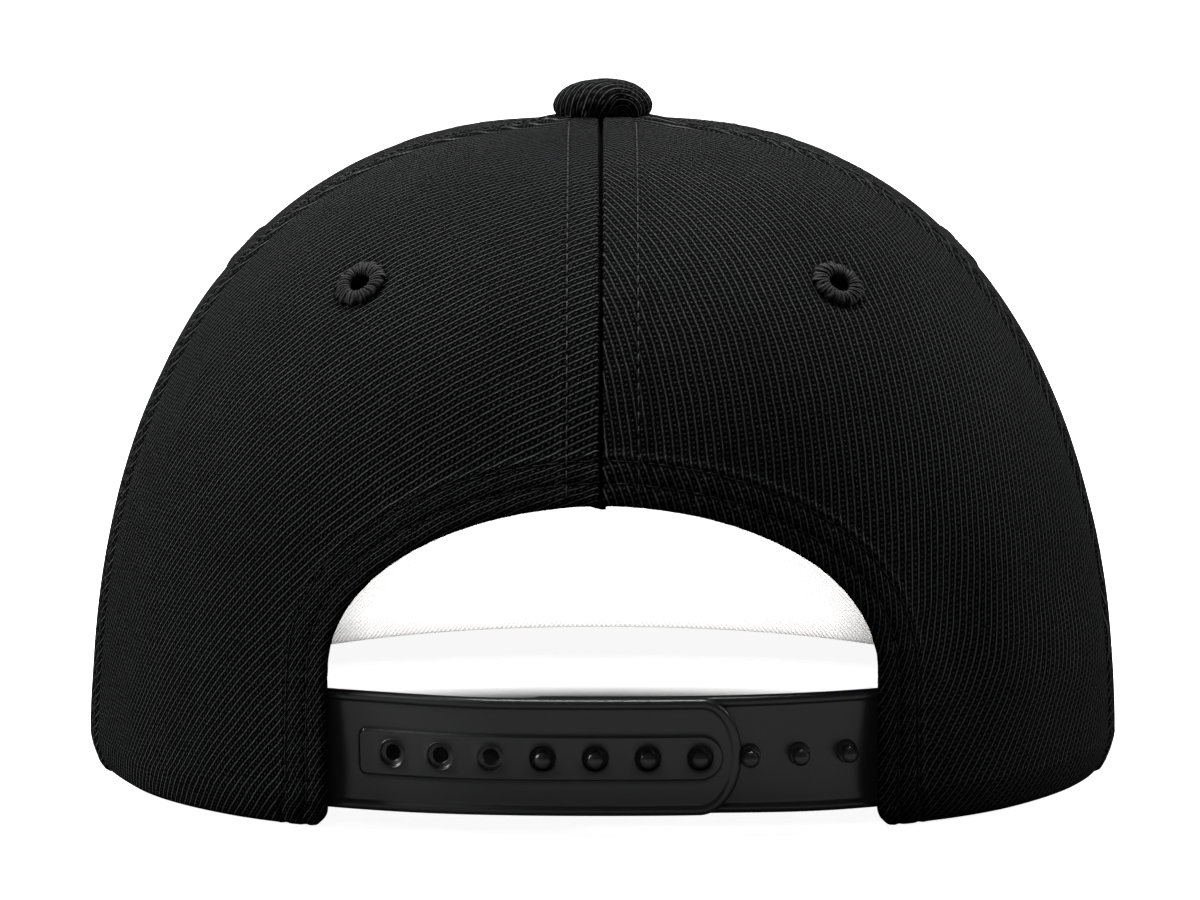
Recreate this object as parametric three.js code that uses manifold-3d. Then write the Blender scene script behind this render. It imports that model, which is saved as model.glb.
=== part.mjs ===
// A six-panel snapback cap, modelled as its sewn pieces.
// Units are millimetres, +Z is up, the peak points to +Y and the adjustable strap is at -Y.
// Angles round the crown are measured from the back centre seam, positive towards +X.
import * as THREE from 'three';
import * as BufferGeometryUtils from 'three/addons/utils/BufferGeometryUtils.js';
import Module from 'manifold-3d';

// Crown: half sizes of the head hollow's outside, and how square its plan and profiles are.
const crownHalfWidth = 88.5;
const crownBackLength = 96;
const crownFrontLength = 100;
const crownHeight = 108.4;
const planPower = 2.4;
const backPower = 2.58;
const frontPower = 2.9;
const topPower = 2.28;
const clothWall = 1.6;
const seamGap = 0.3;
const hemTuckDepth = 2.4;
const hemTuckHeight = 8.6;
const backSeamAngle = 72;
const frontSeamAngle = 127;

// Arched opening at the back, above the strap.
const archHalfWidth = 44.6;
const archSideHeight = 26;
const archRise = 27;
const archCornerRadius = 3.5;

// Soft dents pressed into the cloth: angle from the back, height and spreads as shares.
const dents = [
  { angle: 37, height: 0.28, angleSpread: 4.5, heightSpread: 0.15, depth: 1.1 },
  { angle: 52, height: 0.16, angleSpread: 8, heightSpread: 0.12, depth: 0.7 },
  { angle: 66, height: 0.34, angleSpread: 9, heightSpread: 0.2, depth: -0.6 },
  { angle: -46, height: 0.4, angleSpread: 9, heightSpread: 0.16, depth: 0.6 },
  { angle: -62, height: 0.2, angleSpread: 8, heightSpread: 0.18, depth: 0.7 },
  { angle: -36, height: 0.12, angleSpread: 6, heightSpread: 0.1, depth: -0.5 },
];

// Top button and the hole in the crown that its shank passes through.
const buttonRadius = 8.35;
const buttonHeight = 7.3;
const buttonShankRadius = 2;
const buttonShankLength = 4;
const pieceClearance = 0.3;

// Embroidered eyelets, one to a panel: in its middle, or for the back panels at their own angles.
const eyeletRadius = 4.5;
const eyeletHoleRadius = 1.9;
const eyeletBarrelWall = 1;
const eyeletPadHeight = 0.9;
const eyeletBelowTop = 22.4;
const backEyeletAngles = { left: -35, right: 33.9 };

// Peak.
const peakHalfWidth = 90;
const peakReach = 68;
const peakThickness = 3.4;
const peakArch = 6;
const peakCornerAngle = 110;
const peakCornerWidth = 1.6;

// Strap halves: a band with holes, and a band with studs moulded on it. Places are lengths along
// the strap from the back centre, and the dive shares are where it starts and ends its way
// from the middle of the opening to behind the cloth, as shares of the way to the arch's edge.
const strapWidth = 19.5;
const strapThickness = 1.7;
const strapFootHeight = 3.2;
const strapTilt = 8;
const strapEndTilt = 3;
const strapProud = 0.8;
const strapTipLength = 7;
const strapTipMargin = 6.2;
const strapTipBluntness = 0.06;
const strapSewnLength = 11;
const strapDiveStart = 0.35;
const strapDiveEnd = 0.9;
const sewnGap = 0.5;
const holePitch = 8.5;
const holeCount = 7;
const studCount = 7;
const firstHolePlace = -35.2;
const studsInHoles = 4;
const holeRadius = 1.4;
const counterboreRadius = 2.45;
const counterboreDepth = 0.7;
const studShankRadius = 1.05;
const studHeadRadius = 1.45;
const studHeadHeight = 1.1;

// Sweatband inside the crown's edge.
const bandHeight = 34;
const bandThickness = 1.2;
const bandEdgeHeight = 0.8;

// Fineness of the faceted solids.
const stepAngle = 6;
const crownRows = 12;
const tuckRows = 2;
const rowCrowding = 1.1;
const roundSides = 12;
const strapStep = 3.5;
const tipSteps = 5;
const studSides = 10;
const peakColumns = 14;
const peakRows = 3;
const cutterLength = 14;

const wasm = await Module();
wasm.setup();

const radians = THREE.MathUtils.degToRad;
const mix = THREE.MathUtils.lerp;
const smoothstep = THREE.MathUtils.smoothstep;

const twill = { color: 0x161617, roughness: 0.92, metalness: 0 };
const thread = { color: 0x1c1c1e, roughness: 0.7, metalness: 0 };
const plastic = { color: 0x1f2022, roughness: 0.45, metalness: 0 };
const bandCloth = { color: 0xe4e1da, roughness: 0.95, metalness: 0 };

// Closed solids and their joins and cuts

function toSolid(geometry) {
  const bare = geometry.clone();
  bare.deleteAttribute('normal');
  bare.deleteAttribute('uv');
  const merged = BufferGeometryUtils.mergeVertices(bare, 1e-5);
  return new wasm.Manifold(new wasm.Mesh({
    numProp: 3,
    vertProperties: new Float32Array(merged.attributes.position.array),
    triVerts: new Uint32Array(merged.index.array),
  }));
}

function toGeometry(solid) {
  const mesh = solid.getMesh();
  const geometry = new THREE.BufferGeometry();
  geometry.setAttribute('position', new THREE.BufferAttribute(mesh.vertProperties, 3));
  geometry.setIndex(new THREE.BufferAttribute(mesh.triVerts, 1));
  geometry.computeVertexNormals();
  return geometry;
}

function cut(geometry, tools) {
  let solid = toSolid(geometry);
  for (const tool of tools) solid = solid.subtract(toSolid(tool));
  return toGeometry(solid);
}

function join(geometry, additions) {
  let solid = toSolid(geometry);
  for (const addition of additions) solid = solid.add(toSolid(addition));
  return toGeometry(solid);
}

function addMesh(group, name, geometry, look) {
  const mesh = new THREE.Mesh(geometry, new THREE.MeshStandardMaterial(look));
  mesh.name = name;
  group.add(mesh);
  return mesh;
}

// A closed slab between two grids of points with the same rows and columns.
function slab(outer, inner) {
  const rows = outer.length;
  const columns = outer[0].length;
  const points = [...outer.flat(), ...inner.flat()];
  const indices = [];
  const at = (side, row, column) => side * rows * columns + row * columns + column;
  const quad = (a, b, c, d) => indices.push(a, b, c, a, c, d);
  for (let row = 0; row < rows - 1; row += 1) {
    for (let column = 0; column < columns - 1; column += 1) {
      quad(at(0, row, column), at(0, row, column + 1), at(0, row + 1, column + 1), at(0, row + 1, column));
      quad(at(1, row, column), at(1, row + 1, column), at(1, row + 1, column + 1), at(1, row, column + 1));
    }
    quad(at(0, row, 0), at(0, row + 1, 0), at(1, row + 1, 0), at(1, row, 0));
    const last = columns - 1;
    quad(at(0, row, last), at(1, row, last), at(1, row + 1, last), at(0, row + 1, last));
  }
  for (let column = 0; column < columns - 1; column += 1) {
    quad(at(0, 0, column), at(1, 0, column), at(1, 0, column + 1), at(0, 0, column + 1));
    const last = rows - 1;
    quad(at(0, last, column), at(0, last, column + 1), at(1, last, column + 1), at(1, last, column));
  }
  const geometry = new THREE.BufferGeometry();
  const numbers = points.flatMap((point) => point.toArray());
  geometry.setAttribute('position', new THREE.Float32BufferAttribute(numbers, 3));
  geometry.setIndex(indices);
  if (signedVolume(geometry) < 0) geometry.setIndex(indices.toReversed());
  geometry.computeVertexNormals();
  return geometry;
}

function signedVolume(geometry) {
  const position = geometry.attributes.position;
  const corner = [0, 1, 2].map(() => new THREE.Vector3());
  let volume = 0;
  for (let i = 0; i < geometry.index.count; i += 3) {
    corner.forEach((point, k) => point.fromBufferAttribute(position, geometry.index.getX(i + k)));
    volume += corner[0].dot(corner[1].clone().cross(corner[2])) / 6;
  }
  return volume;
}

// Crown form

// From 0 over the back and the sides to 1 over the front, where the peak joins the crown.
function frontShare(theta) {
  return smoothstep(-Math.cos(theta), 0, 0.5);
}

// Height of the crown's bottom edge, which is arched at the front as the peak is.
function edgeLift(theta) {
  const across = Math.sin(theta) * crownHalfWidth / peakHalfWidth;
  return peakArch * (1 - across ** 2) * frontShare(theta);
}

// The rise is an angle from 0 at the bottom edge to 90 degrees at the top of the crown.
function riseAt(height) {
  return Math.asin(Math.min(1, height / crownHeight) ** (topPower / 2));
}

function smoothCrown(theta, rise) {
  const front = Math.cos(theta) < 0;
  const power = front ? frontPower : backPower;
  const length = front ? crownFrontLength : crownBackLength;
  const height = crownHeight * Math.sin(rise) ** (2 / topPower);
  const tuckDepth = hemTuckDepth * (1 - frontShare(theta));
  const tuck = 1 - tuckDepth / crownHalfWidth * Math.max(0, 1 - height / hemTuckHeight) ** 2;
  const across = crownHalfWidth * Math.cos(rise) ** (2 / backPower) * tuck;
  const along = length * Math.cos(rise) ** (2 / power) * tuck;
  const sideways = Math.abs(Math.sin(theta) / across) ** planPower;
  const lengthways = Math.abs(Math.cos(theta) / along) ** planPower;
  const radius = (sideways + lengthways) ** (-1 / planPower);
  const lift = edgeLift(theta);
  return new THREE.Vector3(
    radius * Math.sin(theta),
    -radius * Math.cos(theta),
    lift + height * (1 - lift / crownHeight),
  );
}

function crownNormal(theta, rise) {
  const step = 1e-3;
  const low = Math.max(rise - step, 1e-4);
  const high = Math.min(rise + step, Math.PI / 2 - 1e-4);
  const around = smoothCrown(theta + step, rise).sub(smoothCrown(theta - step, rise));
  const upward = smoothCrown(theta, high).sub(smoothCrown(theta, low));
  return around.cross(upward).normalize();
}

function dentDepth(theta, rise) {
  const height = Math.sin(rise) ** (2 / topPower);
  let depth = 0;
  for (const dent of dents) {
    const sideways = (THREE.MathUtils.radToDeg(theta) - dent.angle) / dent.angleSpread;
    const upright = (height - dent.height) / dent.heightSpread;
    depth += dent.depth * Math.exp(-(sideways ** 2) - upright ** 2);
  }
  return depth;
}

// A point below the crown's outside by a depth, measured square to the cloth.
function crownPoint(theta, rise, depth) {
  const point = smoothCrown(theta, rise);
  const inward = crownNormal(theta, rise).multiplyScalar(-(depth + dentDepth(theta, rise)));
  if (rise === 0) inward.z = 0;
  return point.add(inward);
}

// Panels

const panelSpans = [
  { part: 'back', from: 0, to: backSeamAngle },
  { part: 'side', from: backSeamAngle, to: frontSeamAngle },
  { part: 'front', from: frontSeamAngle, to: 180 },
];
const sides = [
  { name: 'left', sign: -1 },
  { name: 'right', sign: 1 },
];

// The rise where the crown's top has shrunk to a hole of this radius.
function riseAtRadius(radius) {
  return Math.acos((radius / crownHalfWidth) ** (backPower / 2));
}

const topHoleRise = riseAtRadius(buttonShankRadius + 2 * pieceClearance);

function crownRiseRows() {
  const tuckTop = riseAt(hemTuckHeight);
  const rises = [];
  for (let row = 0; row < tuckRows; row += 1) rises.push(riseAt(hemTuckHeight * row / tuckRows));
  for (let row = 0; row <= crownRows; row += 1) {
    const share = row / crownRows;
    rises.push(mix(tuckTop, topHoleRise, share ** rowCrowding));
  }
  return rises;
}

// Angles of the lines that divide the cloth between two seams.
function panelColumns(fromAngle, toAngle) {
  const columns = Math.ceil(Math.abs(toAngle - fromAngle) / stepAngle);
  return Array.from({ length: columns + 1 }, (_, i) => radians(mix(fromAngle, toAngle, i / columns)));
}

// The cloth between two seams, as a grid of points at one depth. Half a seam gap is left at each.
function panelGrid(fromAngle, toAngle, depth) {
  const columns = panelColumns(fromAngle, toAngle);
  const inwards = Math.sign(toAngle - fromAngle);
  return crownRiseRows().map((rise) => columns.map((theta, i) => {
    const edge = smoothCrown(theta, rise);
    const gapAngle = seamGap / 2 / Math.hypot(edge.x, edge.y) * inwards;
    const shift = i === 0 ? gapAngle : i === columns.length - 1 ? -gapAngle : 0;
    return crownPoint(theta + shift, rise, depth);
  }));
}

function panelGeometry(fromAngle, toAngle) {
  return slab(panelGrid(fromAngle, toAngle, 0), panelGrid(fromAngle, toAngle, clothWall));
}

// The arch is cut by a bar of its outline that runs from behind the cap to the crown's axis.
function archCutter() {
  const foot = archHalfWidth + archCornerRadius;
  const outline = new THREE.Shape();
  outline.moveTo(-foot, -archCornerRadius);
  outline.lineTo(-foot, 0);
  outline.absarc(-foot, archCornerRadius, archCornerRadius, -Math.PI / 2, 0, false);
  outline.lineTo(-archHalfWidth, archSideHeight);
  outline.absellipse(0, archSideHeight, archHalfWidth, archRise, Math.PI, 0, true);
  outline.lineTo(archHalfWidth, archCornerRadius);
  outline.absarc(foot, archCornerRadius, archCornerRadius, Math.PI, Math.PI * 1.5, false);
  outline.lineTo(foot, -archCornerRadius);
  outline.closePath();
  const bar = new THREE.ExtrudeGeometry(outline, {
    depth: crownBackLength * 1.5,
    bevelEnabled: false,
    curveSegments: roundSides,
  });
  return bar.rotateX(Math.PI / 2);
}

function eyeletPlace(angle) {
  const theta = radians(angle);
  const rise = riseAt(crownHeight - eyeletBelowTop);
  const outward = crownNormal(theta, rise);
  return {
    position: crownPoint(theta, rise, 0),
    quaternion: new THREE.Quaternion().setFromUnitVectors(new THREE.Vector3(0, 1, 0), outward),
  };
}

function eyeletHoleCutter(angle) {
  const radius = eyeletHoleRadius + eyeletBarrelWall + pieceClearance;
  const place = eyeletPlace(angle);
  const bar = new THREE.CylinderGeometry(radius, radius, cutterLength, roundSides);
  return bar.applyQuaternion(place.quaternion).translate(...place.position.toArray());
}

// A stitched ring: a flat pad on the cloth and a short barrel through it.
function eyeletGeometry() {
  const barrelRadius = eyeletHoleRadius + eyeletBarrelWall;
  const seat = pieceClearance;
  const top = seat + eyeletPadHeight;
  const foot = -(clothWall + pieceClearance);
  const profile = [
    [eyeletHoleRadius, foot],
    [barrelRadius, foot],
    [barrelRadius, seat],
    [eyeletRadius, seat],
    [eyeletRadius - eyeletPadHeight * 0.4, mix(seat, top, 0.75)],
    [mix(eyeletHoleRadius, eyeletRadius, 0.45), top],
    [eyeletHoleRadius + eyeletPadHeight * 0.2, mix(seat, top, 0.7)],
    [eyeletHoleRadius, seat],
    [eyeletHoleRadius, foot],
  ];
  return closedLathe(profile, roundSides);
}

function closedLathe(profile, sides) {
  const points = profile.map(([radius, height]) => new THREE.Vector2(radius, height));
  const geometry = BufferGeometryUtils.mergeVertices(bareLathe(points, sides), 1e-5);
  if (signedVolume(geometry) < 0) geometry.setIndex(Array.from(geometry.index.array).reverse());
  geometry.computeVertexNormals();
  return geometry;
}

function bareLathe(points, sides) {
  const geometry = new THREE.LatheGeometry(points, sides);
  geometry.deleteAttribute('normal');
  geometry.deleteAttribute('uv');
  return geometry;
}

function buttonGeometry() {
  const seat = pieceClearance;
  const profile = [
    [0, -buttonShankLength],
    [buttonShankRadius, -buttonShankLength],
    [buttonShankRadius, seat],
    [buttonRadius * 0.78, seat],
    [buttonRadius * 0.93, mix(seat, buttonHeight, 0.17)],
    [buttonRadius, mix(seat, buttonHeight, 0.42)],
    [buttonRadius * 0.95, mix(seat, buttonHeight, 0.6)],
    [buttonRadius * 0.78, mix(seat, buttonHeight, 0.79)],
    [buttonRadius * 0.45, mix(seat, buttonHeight, 0.95)],
    [0, buttonHeight],
  ];
  return closedLathe(profile, roundSides * 2).rotateX(Math.PI / 2);
}

// Peak

// Outline from the middle of the front to a rear corner: shares of the half width and of the reach
// from the corner to the front edge. The last stretch to the crown is added at the corner itself.
const peakOutline = [
  { across: 0, forward: 1 },
  { across: 0.28, forward: 0.985 },
  { across: 0.56, forward: 0.93 },
  { across: 0.8, forward: 0.79 },
  { across: 0.95, forward: 0.55 },
  { across: 1, forward: 0.3 },
];

function peakGeometry() {
  const cornerTheta = radians(peakCornerAngle);
  const corner = smoothCrown(cornerTheta, 0);
  const cornerOut = new THREE.Vector2(corner.x + peakCornerWidth + pieceClearance, corner.y);
  const frontY = crownFrontLength + peakReach;
  const half = peakOutline.map(
    (row) => new THREE.Vector2(peakHalfWidth * row.across, mix(corner.y, frontY, row.forward)),
  );
  const outline = new THREE.SplineCurve([...half, cornerOut]);
  const plan = [];
  for (let row = 0; row <= peakRows; row += 1) {
    const line = [];
    for (let column = -peakColumns; column <= peakColumns; column += 1) {
      const share = Math.abs(column) / peakColumns;
      const theta = mix(Math.PI, cornerTheta, share);
      const rim = outline.getPointAt(share);
      const root = smoothCrown(theta, riseAt(peakThickness));
      const outward = new THREE.Vector2(root.x, root.y).normalize().multiplyScalar(pieceClearance);
      const start = new THREE.Vector2(root.x, root.y).add(outward);
      const spot = start.lerp(rim, row / peakRows);
      line.push(new THREE.Vector3(Math.sign(column) * spot.x, spot.y, 0));
    }
    plan.push(line);
  }
  const at = (point, height) => {
    const arch = peakArch * Math.max(0, 1 - (point.x / peakHalfWidth) ** 2);
    return new THREE.Vector3(point.x, point.y, arch + height);
  };
  const top = plan.map((line) => line.map((point) => at(point, peakThickness)));
  const bottom = plan.map((line) => line.map((point) => at(point, 0)));
  return slab(top, bottom);
}

// Straps

// The crown's outline at the height of the strap's top edge, by length from the back centre.
class BackOutline extends THREE.Curve {
  constructor(height, halfAngle) {
    super();
    this.rise = riseAt(height);
    this.halfAngle = halfAngle;
    this.arcLengthDivisions = 400;
  }

  getPoint(t, target = new THREE.Vector3()) {
    return target.copy(smoothCrown(mix(-this.halfAngle, this.halfAngle, t), this.rise));
  }
}

const strapTopHeight = strapFootHeight + strapWidth * Math.cos(radians(strapTilt));
const backOutline = new BackOutline(strapTopHeight, radians(backSeamAngle));
const backOutlineLength = backOutline.getLength();
const archEdgePlace = placeAcross(archHalfWidth);

// The length along the back outline at which it is this far across.
function placeAcross(across) {
  let low = 0;
  let high = backOutlineLength / 2;
  for (let step = 0; step < 40; step += 1) {
    const middle = (low + high) / 2;
    if (backOutline.getPointAt(0.5 + middle / backOutlineLength).x < across) low = middle;
    else high = middle;
  }
  return low;
}

// How far the strap's outer face lies inside the crown's outside, and its tilt, by place.
// Both straps are tucked behind the cloth where they are sewn.
function strapSet(place, middleDepth) {
  const sewn = smoothstep(Math.abs(place), archEdgePlace * strapDiveStart, archEdgePlace * strapDiveEnd);
  const edge = backOutline.getPointAt(0.5 + place / backOutlineLength);
  const theta = Math.atan2(edge.x, -edge.y);
  const heights = [strapFootHeight, (strapFootHeight + strapTopHeight) / 2, strapTopHeight];
  const dentRoom = Math.max(0, ...heights.map((height) => dentDepth(theta, riseAt(height))));
  return {
    depth: mix(middleDepth, clothWall + sewnGap + dentRoom, sewn),
    tilt: radians(mix(strapTilt, strapEndTilt, sewn)),
  };
}

// Position and directions of the strap's outer face at a place along it.
function strapFrame(place, middleDepth) {
  const share = 0.5 + place / backOutlineLength;
  const along = backOutline.getTangentAt(share);
  const outward = new THREE.Vector3(along.y, -along.x, 0).normalize();
  const { depth, tilt } = strapSet(place, middleDepth);
  const up = new THREE.Vector3(0, 0, 1);
  const edge = backOutline.getPointAt(share);
  edge.z = strapTopHeight;
  edge.addScaledVector(outward, -depth);
  const down = outward.clone().multiplyScalar(-Math.sin(tilt)).addScaledVector(up, -Math.cos(tilt));
  const face = outward.clone().multiplyScalar(Math.cos(tilt)).addScaledVector(up, -Math.sin(tilt));
  return { edge, down, face };
}

// Half the strap's width at a place, rounded off towards its free tip.
function strapHalfWidth(fromTip) {
  const short = Math.max(0, 1 - fromTip / strapTipLength);
  return strapWidth / 2 * Math.max(strapTipBluntness, Math.sqrt(1 - short ** 2));
}

// A strap from its sewn end to its free tip; the side is -1 where it is sewn on the left.
function strapBand(side, tipPlace, middleDepth) {
  const sewnPlace = side * (archEdgePlace + strapSewnLength);
  const straight = Math.abs(tipPlace - sewnPlace) - strapTipLength;
  const steps = Math.round(straight / strapStep);
  const fromTip = [];
  for (let step = 0; step <= steps; step += 1) fromTip.push(strapTipLength + straight * (1 - step / steps));
  for (let step = 1; step <= tipSteps; step += 1) {
    fromTip.push(strapTipLength * (1 - Math.sin(step / tipSteps * Math.PI / 2)));
  }
  const direction = Math.sign(tipPlace - sewnPlace);
  const rows = fromTip.map((distance) => {
    const frame = strapFrame(tipPlace - direction * distance, middleDepth);
    const half = strapHalfWidth(distance);
    const reaches = [strapWidth / 2 - half, strapWidth / 2 + half];
    return reaches.map((reach) => frame.edge.clone().addScaledVector(frame.down, reach));
  });
  const depthRows = fromTip.map((distance, row) => {
    const frame = strapFrame(tipPlace - direction * distance, middleDepth);
    return rows[row].map((point) => point.clone().addScaledVector(frame.face, -strapThickness));
  });
  return slab(rows, depthRows);
}

// A turned shape set square to the strap's outer face, half way across it.
function onStrap(geometry, place, middleDepth) {
  const frame = strapFrame(place, middleDepth);
  const middle = frame.edge.clone().addScaledVector(frame.down, strapWidth / 2);
  const turn = new THREE.Quaternion().setFromUnitVectors(new THREE.Vector3(0, 1, 0), frame.face);
  return geometry.applyQuaternion(turn).translate(...middle.toArray());
}

const holePlaces = Array.from({ length: holeCount }, (_, i) => firstHolePlace + i * holePitch);
const firstStudPlace = holePlaces[Math.max(0, holeCount - studsInHoles)];
const studPlaces = Array.from({ length: studCount }, (_, i) => firstStudPlace + i * holePitch);
const holeStrapDepth = -strapProud;
const studStrapDepth = holeStrapDepth + strapThickness + pieceClearance;

function holeStrapGeometry() {
  const band = strapBand(-1, holePlaces.at(-1) + strapTipMargin, holeStrapDepth);
  const cutters = holePlaces.flatMap((place) => {
    const through = new THREE.CylinderGeometry(holeRadius, holeRadius, cutterLength, roundSides);
    const deep = 2 * counterboreDepth;
    const wide = new THREE.CylinderGeometry(counterboreRadius, counterboreRadius, deep, roundSides);
    return [onStrap(through, place, holeStrapDepth), onStrap(wide, place, holeStrapDepth)];
  });
  return cut(band, cutters);
}

// A stud starts inside its strap and ends in a domed head, just clear of the counterbore's floor.
function studGeometry() {
  const shankTop = pieceClearance + strapThickness - counterboreDepth + pieceClearance;
  const root = -strapThickness / 2;
  const profile = [
    [0, root],
    [studShankRadius, root],
    [studShankRadius, shankTop],
    [studHeadRadius, shankTop],
    [studHeadRadius * 0.95, shankTop + studHeadHeight * 0.5],
    [studHeadRadius * 0.55, shankTop + studHeadHeight * 0.9],
    [0, shankTop + studHeadHeight],
  ];
  return closedLathe(profile, studSides);
}

function studStrapGeometry() {
  const band = strapBand(1, firstStudPlace - strapTipMargin, studStrapDepth);
  return join(band, studPlaces.map((place) => onStrap(studGeometry(), place, studStrapDepth)));
}

// Sweatband

// It starts where a strap's sewn end stops, and runs round the front to the other one.
function sweatbandGeometry() {
  const end = backOutline.getPointAt(0.5 + (archEdgePlace + strapSewnLength) / backOutlineLength);
  const from = Math.atan2(end.x, -end.y) + 2 * pieceClearance / Math.hypot(end.x, end.y);
  const half = panelSpans.flatMap((span) => panelColumns(span.from, span.to)).filter((theta) => theta > from);
  const right = [from, ...new Set(half)];
  const left = right.slice(0, -1).reverse().map((theta) => -theta);
  const inside = crownRiseRows().filter((rise) => rise > riseAt(bandEdgeHeight) && rise < riseAt(bandHeight));
  const rises = [riseAt(bandEdgeHeight), ...inside, riseAt(bandHeight)];
  const columns = [...right, ...left];
  const grid = (depth) => rises.map((rise) => columns.map((theta) => crownPoint(theta, rise, depth)));
  const backing = clothWall + sewnGap;
  return slab(grid(backing), grid(backing + bandThickness));
}

// Assembly

const cap = new THREE.Group();
const crown = new THREE.Group();
const fastening = new THREE.Group();
cap.add(crown, fastening);

for (const span of panelSpans) {
  for (const side of sides) {
    const from = side.sign * span.from;
    const to = side.sign * span.to;
    const eyeletAngle = span.part === 'back' ? backEyeletAngles[side.name] : (from + to) / 2;
    const cutters = [eyeletHoleCutter(eyeletAngle)];
    if (span.part === 'back') cutters.push(archCutter());
    addMesh(crown, `${span.part}_${side.name}_panel`, cut(panelGeometry(from, to), cutters), twill);
    const eyelet = addMesh(crown, `eyelet_${span.part}_${side.name}`, eyeletGeometry(), thread);
    const place = eyeletPlace(eyeletAngle);
    eyelet.position.copy(place.position);
    eyelet.quaternion.copy(place.quaternion);
  }
}

const button = addMesh(crown, 'top_button', buttonGeometry(), twill);
button.position.z = crownHeight;
addMesh(crown, 'peak', peakGeometry(), twill);
addMesh(crown, 'sweatband', sweatbandGeometry(), bandCloth);
addMesh(fastening, 'hole_strap', holeStrapGeometry(), plastic);
addMesh(fastening, 'stud_strap', studStrapGeometry(), plastic);

// The origin is the middle of the whole cap's box, on the surface that it rests on.
const box = new THREE.Box3().setFromObject(cap);
const centre = box.getCenter(new THREE.Vector3());
cap.position.set(-centre.x, -centre.y, -box.min.z);

export default cap;
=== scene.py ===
# A black six-panel snapback cap seen from behind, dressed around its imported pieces.
# Sizes are in millimetres round the crown's upright axis, with the back centre seam towards -Y,
# until place() makes metres of them.
from math import cos, pi, radians, sin, tau

import bmesh
import bpy
import numpy as np
from mathutils import Matrix, Vector


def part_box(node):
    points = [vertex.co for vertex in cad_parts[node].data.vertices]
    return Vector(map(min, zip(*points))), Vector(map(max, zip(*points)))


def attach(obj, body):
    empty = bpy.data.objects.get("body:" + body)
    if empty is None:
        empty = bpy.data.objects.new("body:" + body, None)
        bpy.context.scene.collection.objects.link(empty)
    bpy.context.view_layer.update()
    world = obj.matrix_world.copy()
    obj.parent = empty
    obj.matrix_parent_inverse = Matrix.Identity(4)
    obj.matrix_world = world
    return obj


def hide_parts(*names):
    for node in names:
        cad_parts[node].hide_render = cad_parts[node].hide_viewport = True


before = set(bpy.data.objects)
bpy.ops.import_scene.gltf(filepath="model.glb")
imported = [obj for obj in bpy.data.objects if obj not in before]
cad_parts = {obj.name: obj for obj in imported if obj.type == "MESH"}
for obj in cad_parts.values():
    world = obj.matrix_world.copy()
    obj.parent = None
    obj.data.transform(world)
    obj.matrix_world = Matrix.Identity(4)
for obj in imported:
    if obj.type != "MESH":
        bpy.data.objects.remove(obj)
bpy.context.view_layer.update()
scene = bpy.context.scene
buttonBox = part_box("top_button")
crownAxis = (buttonBox[0] + buttonBox[1]) / 2  # the crown's upright axis runs through the button


def place(points):  # millimetres round the crown's axis become metres in the cap's frame
    return np.asarray(points) * 0.001 + np.array([crownAxis.x, crownAxis.y, 0])


# Small sums used everywhere

def ease(low, high, value):
    share = np.clip((value - low) / (high - low), 0, 1)
    return share * share * (3 - 2 * share)


def dip(distance, width):  # 1 in the middle of a narrow trough, 0 away from it
    return np.exp(-((distance / width) ** 2))


def ripple(value, seed):  # an uneven wave, between -1 and 1, that never repeats soon
    slow = np.sin(value + 1.7 * seed) + 0.6 * np.sin(1.73 * value + 2.9 * seed)
    return (slow + 0.35 * np.sin(2.91 * value + 0.7 * seed)) / 1.95


def spread(count, start, end, reach):  # shares from 0 to 1 that crowd together towards the two ends
    fine = np.linspace(0, 1, 2001)
    density = 1 + start * np.exp(-fine / reach) + end * np.exp(-(1 - fine) / reach)
    total = np.concatenate([[0], np.cumsum((density[1:] + density[:-1]) / 2)])
    return np.interp(np.linspace(0, total[-1], count + 1), total, fine)


def unit(vectors):
    return vectors / np.maximum(np.linalg.norm(vectors, axis=-1, keepdims=True), 1e-12)


def lengthAlong(points):  # running length of a polyline
    return np.concatenate([[0], np.cumsum(np.linalg.norm(np.diff(points, axis=0), axis=-1))])


# Grids that become cloth and plastic

def gridShape(columns, rows):  # a bmesh grid whose x and y are column and row numbers
    grid = bmesh.new()
    bmesh.ops.create_grid(grid, x_segments=columns, y_segments=rows, size=0.5)
    bmesh.ops.translate(grid, verts=grid.verts, vec=(0.5, 0.5, 0))
    bmesh.ops.scale(grid, verts=grid.verts, vec=(columns, rows, 1))
    return grid


def readPlaces(mesh):
    places = np.empty(len(mesh.vertices) * 3)
    mesh.vertices.foreach_get("co", places)
    return places.reshape(-1, 3)


def gridNumbers(mesh):  # column, row and layer of each vertex
    return np.rint(readPlaces(mesh)).astype(int).T


def writePlaces(mesh, places):
    mesh.vertices.foreach_set("co", np.ascontiguousarray(places, dtype=np.float32).ravel())
    mesh.update()


def writeCloth(mesh, across, along):  # the cloth's own coordinates: ribs counted across, floats along
    layer = mesh.uv_layers.new(name="cloth")
    corners = np.empty(len(mesh.loops), dtype=np.int32)
    mesh.loops.foreach_get("vertex_index", corners)
    values = np.stack([across[corners], along[corners]], axis=-1)
    layer.data.foreach_set("uv", values.astype(np.float32).ravel())


def writePaintedShade(mesh, values):  # read by the twill, which is painted darker there: painted shade in seams, stitch rows and at the arch's edge
    layer = mesh.attributes.new("painted_shade", "FLOAT", "POINT")
    layer.data.foreach_set("value", np.asarray(values, dtype=np.float32))


def meshOf(name, shape):
    mesh = bpy.data.meshes.new(name)
    shape.to_mesh(mesh)
    shape.free()
    return mesh


def secondLayer(shape):  # the grid again, one higher, with walls between the two at every edge
    made = bmesh.ops.extrude_face_region(shape, geom=list(shape.faces))["geom"]
    upper = [item for item in made if isinstance(item, bmesh.types.BMVert)]
    bmesh.ops.translate(shape, verts=upper, vec=(0, 0, 1))


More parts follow.
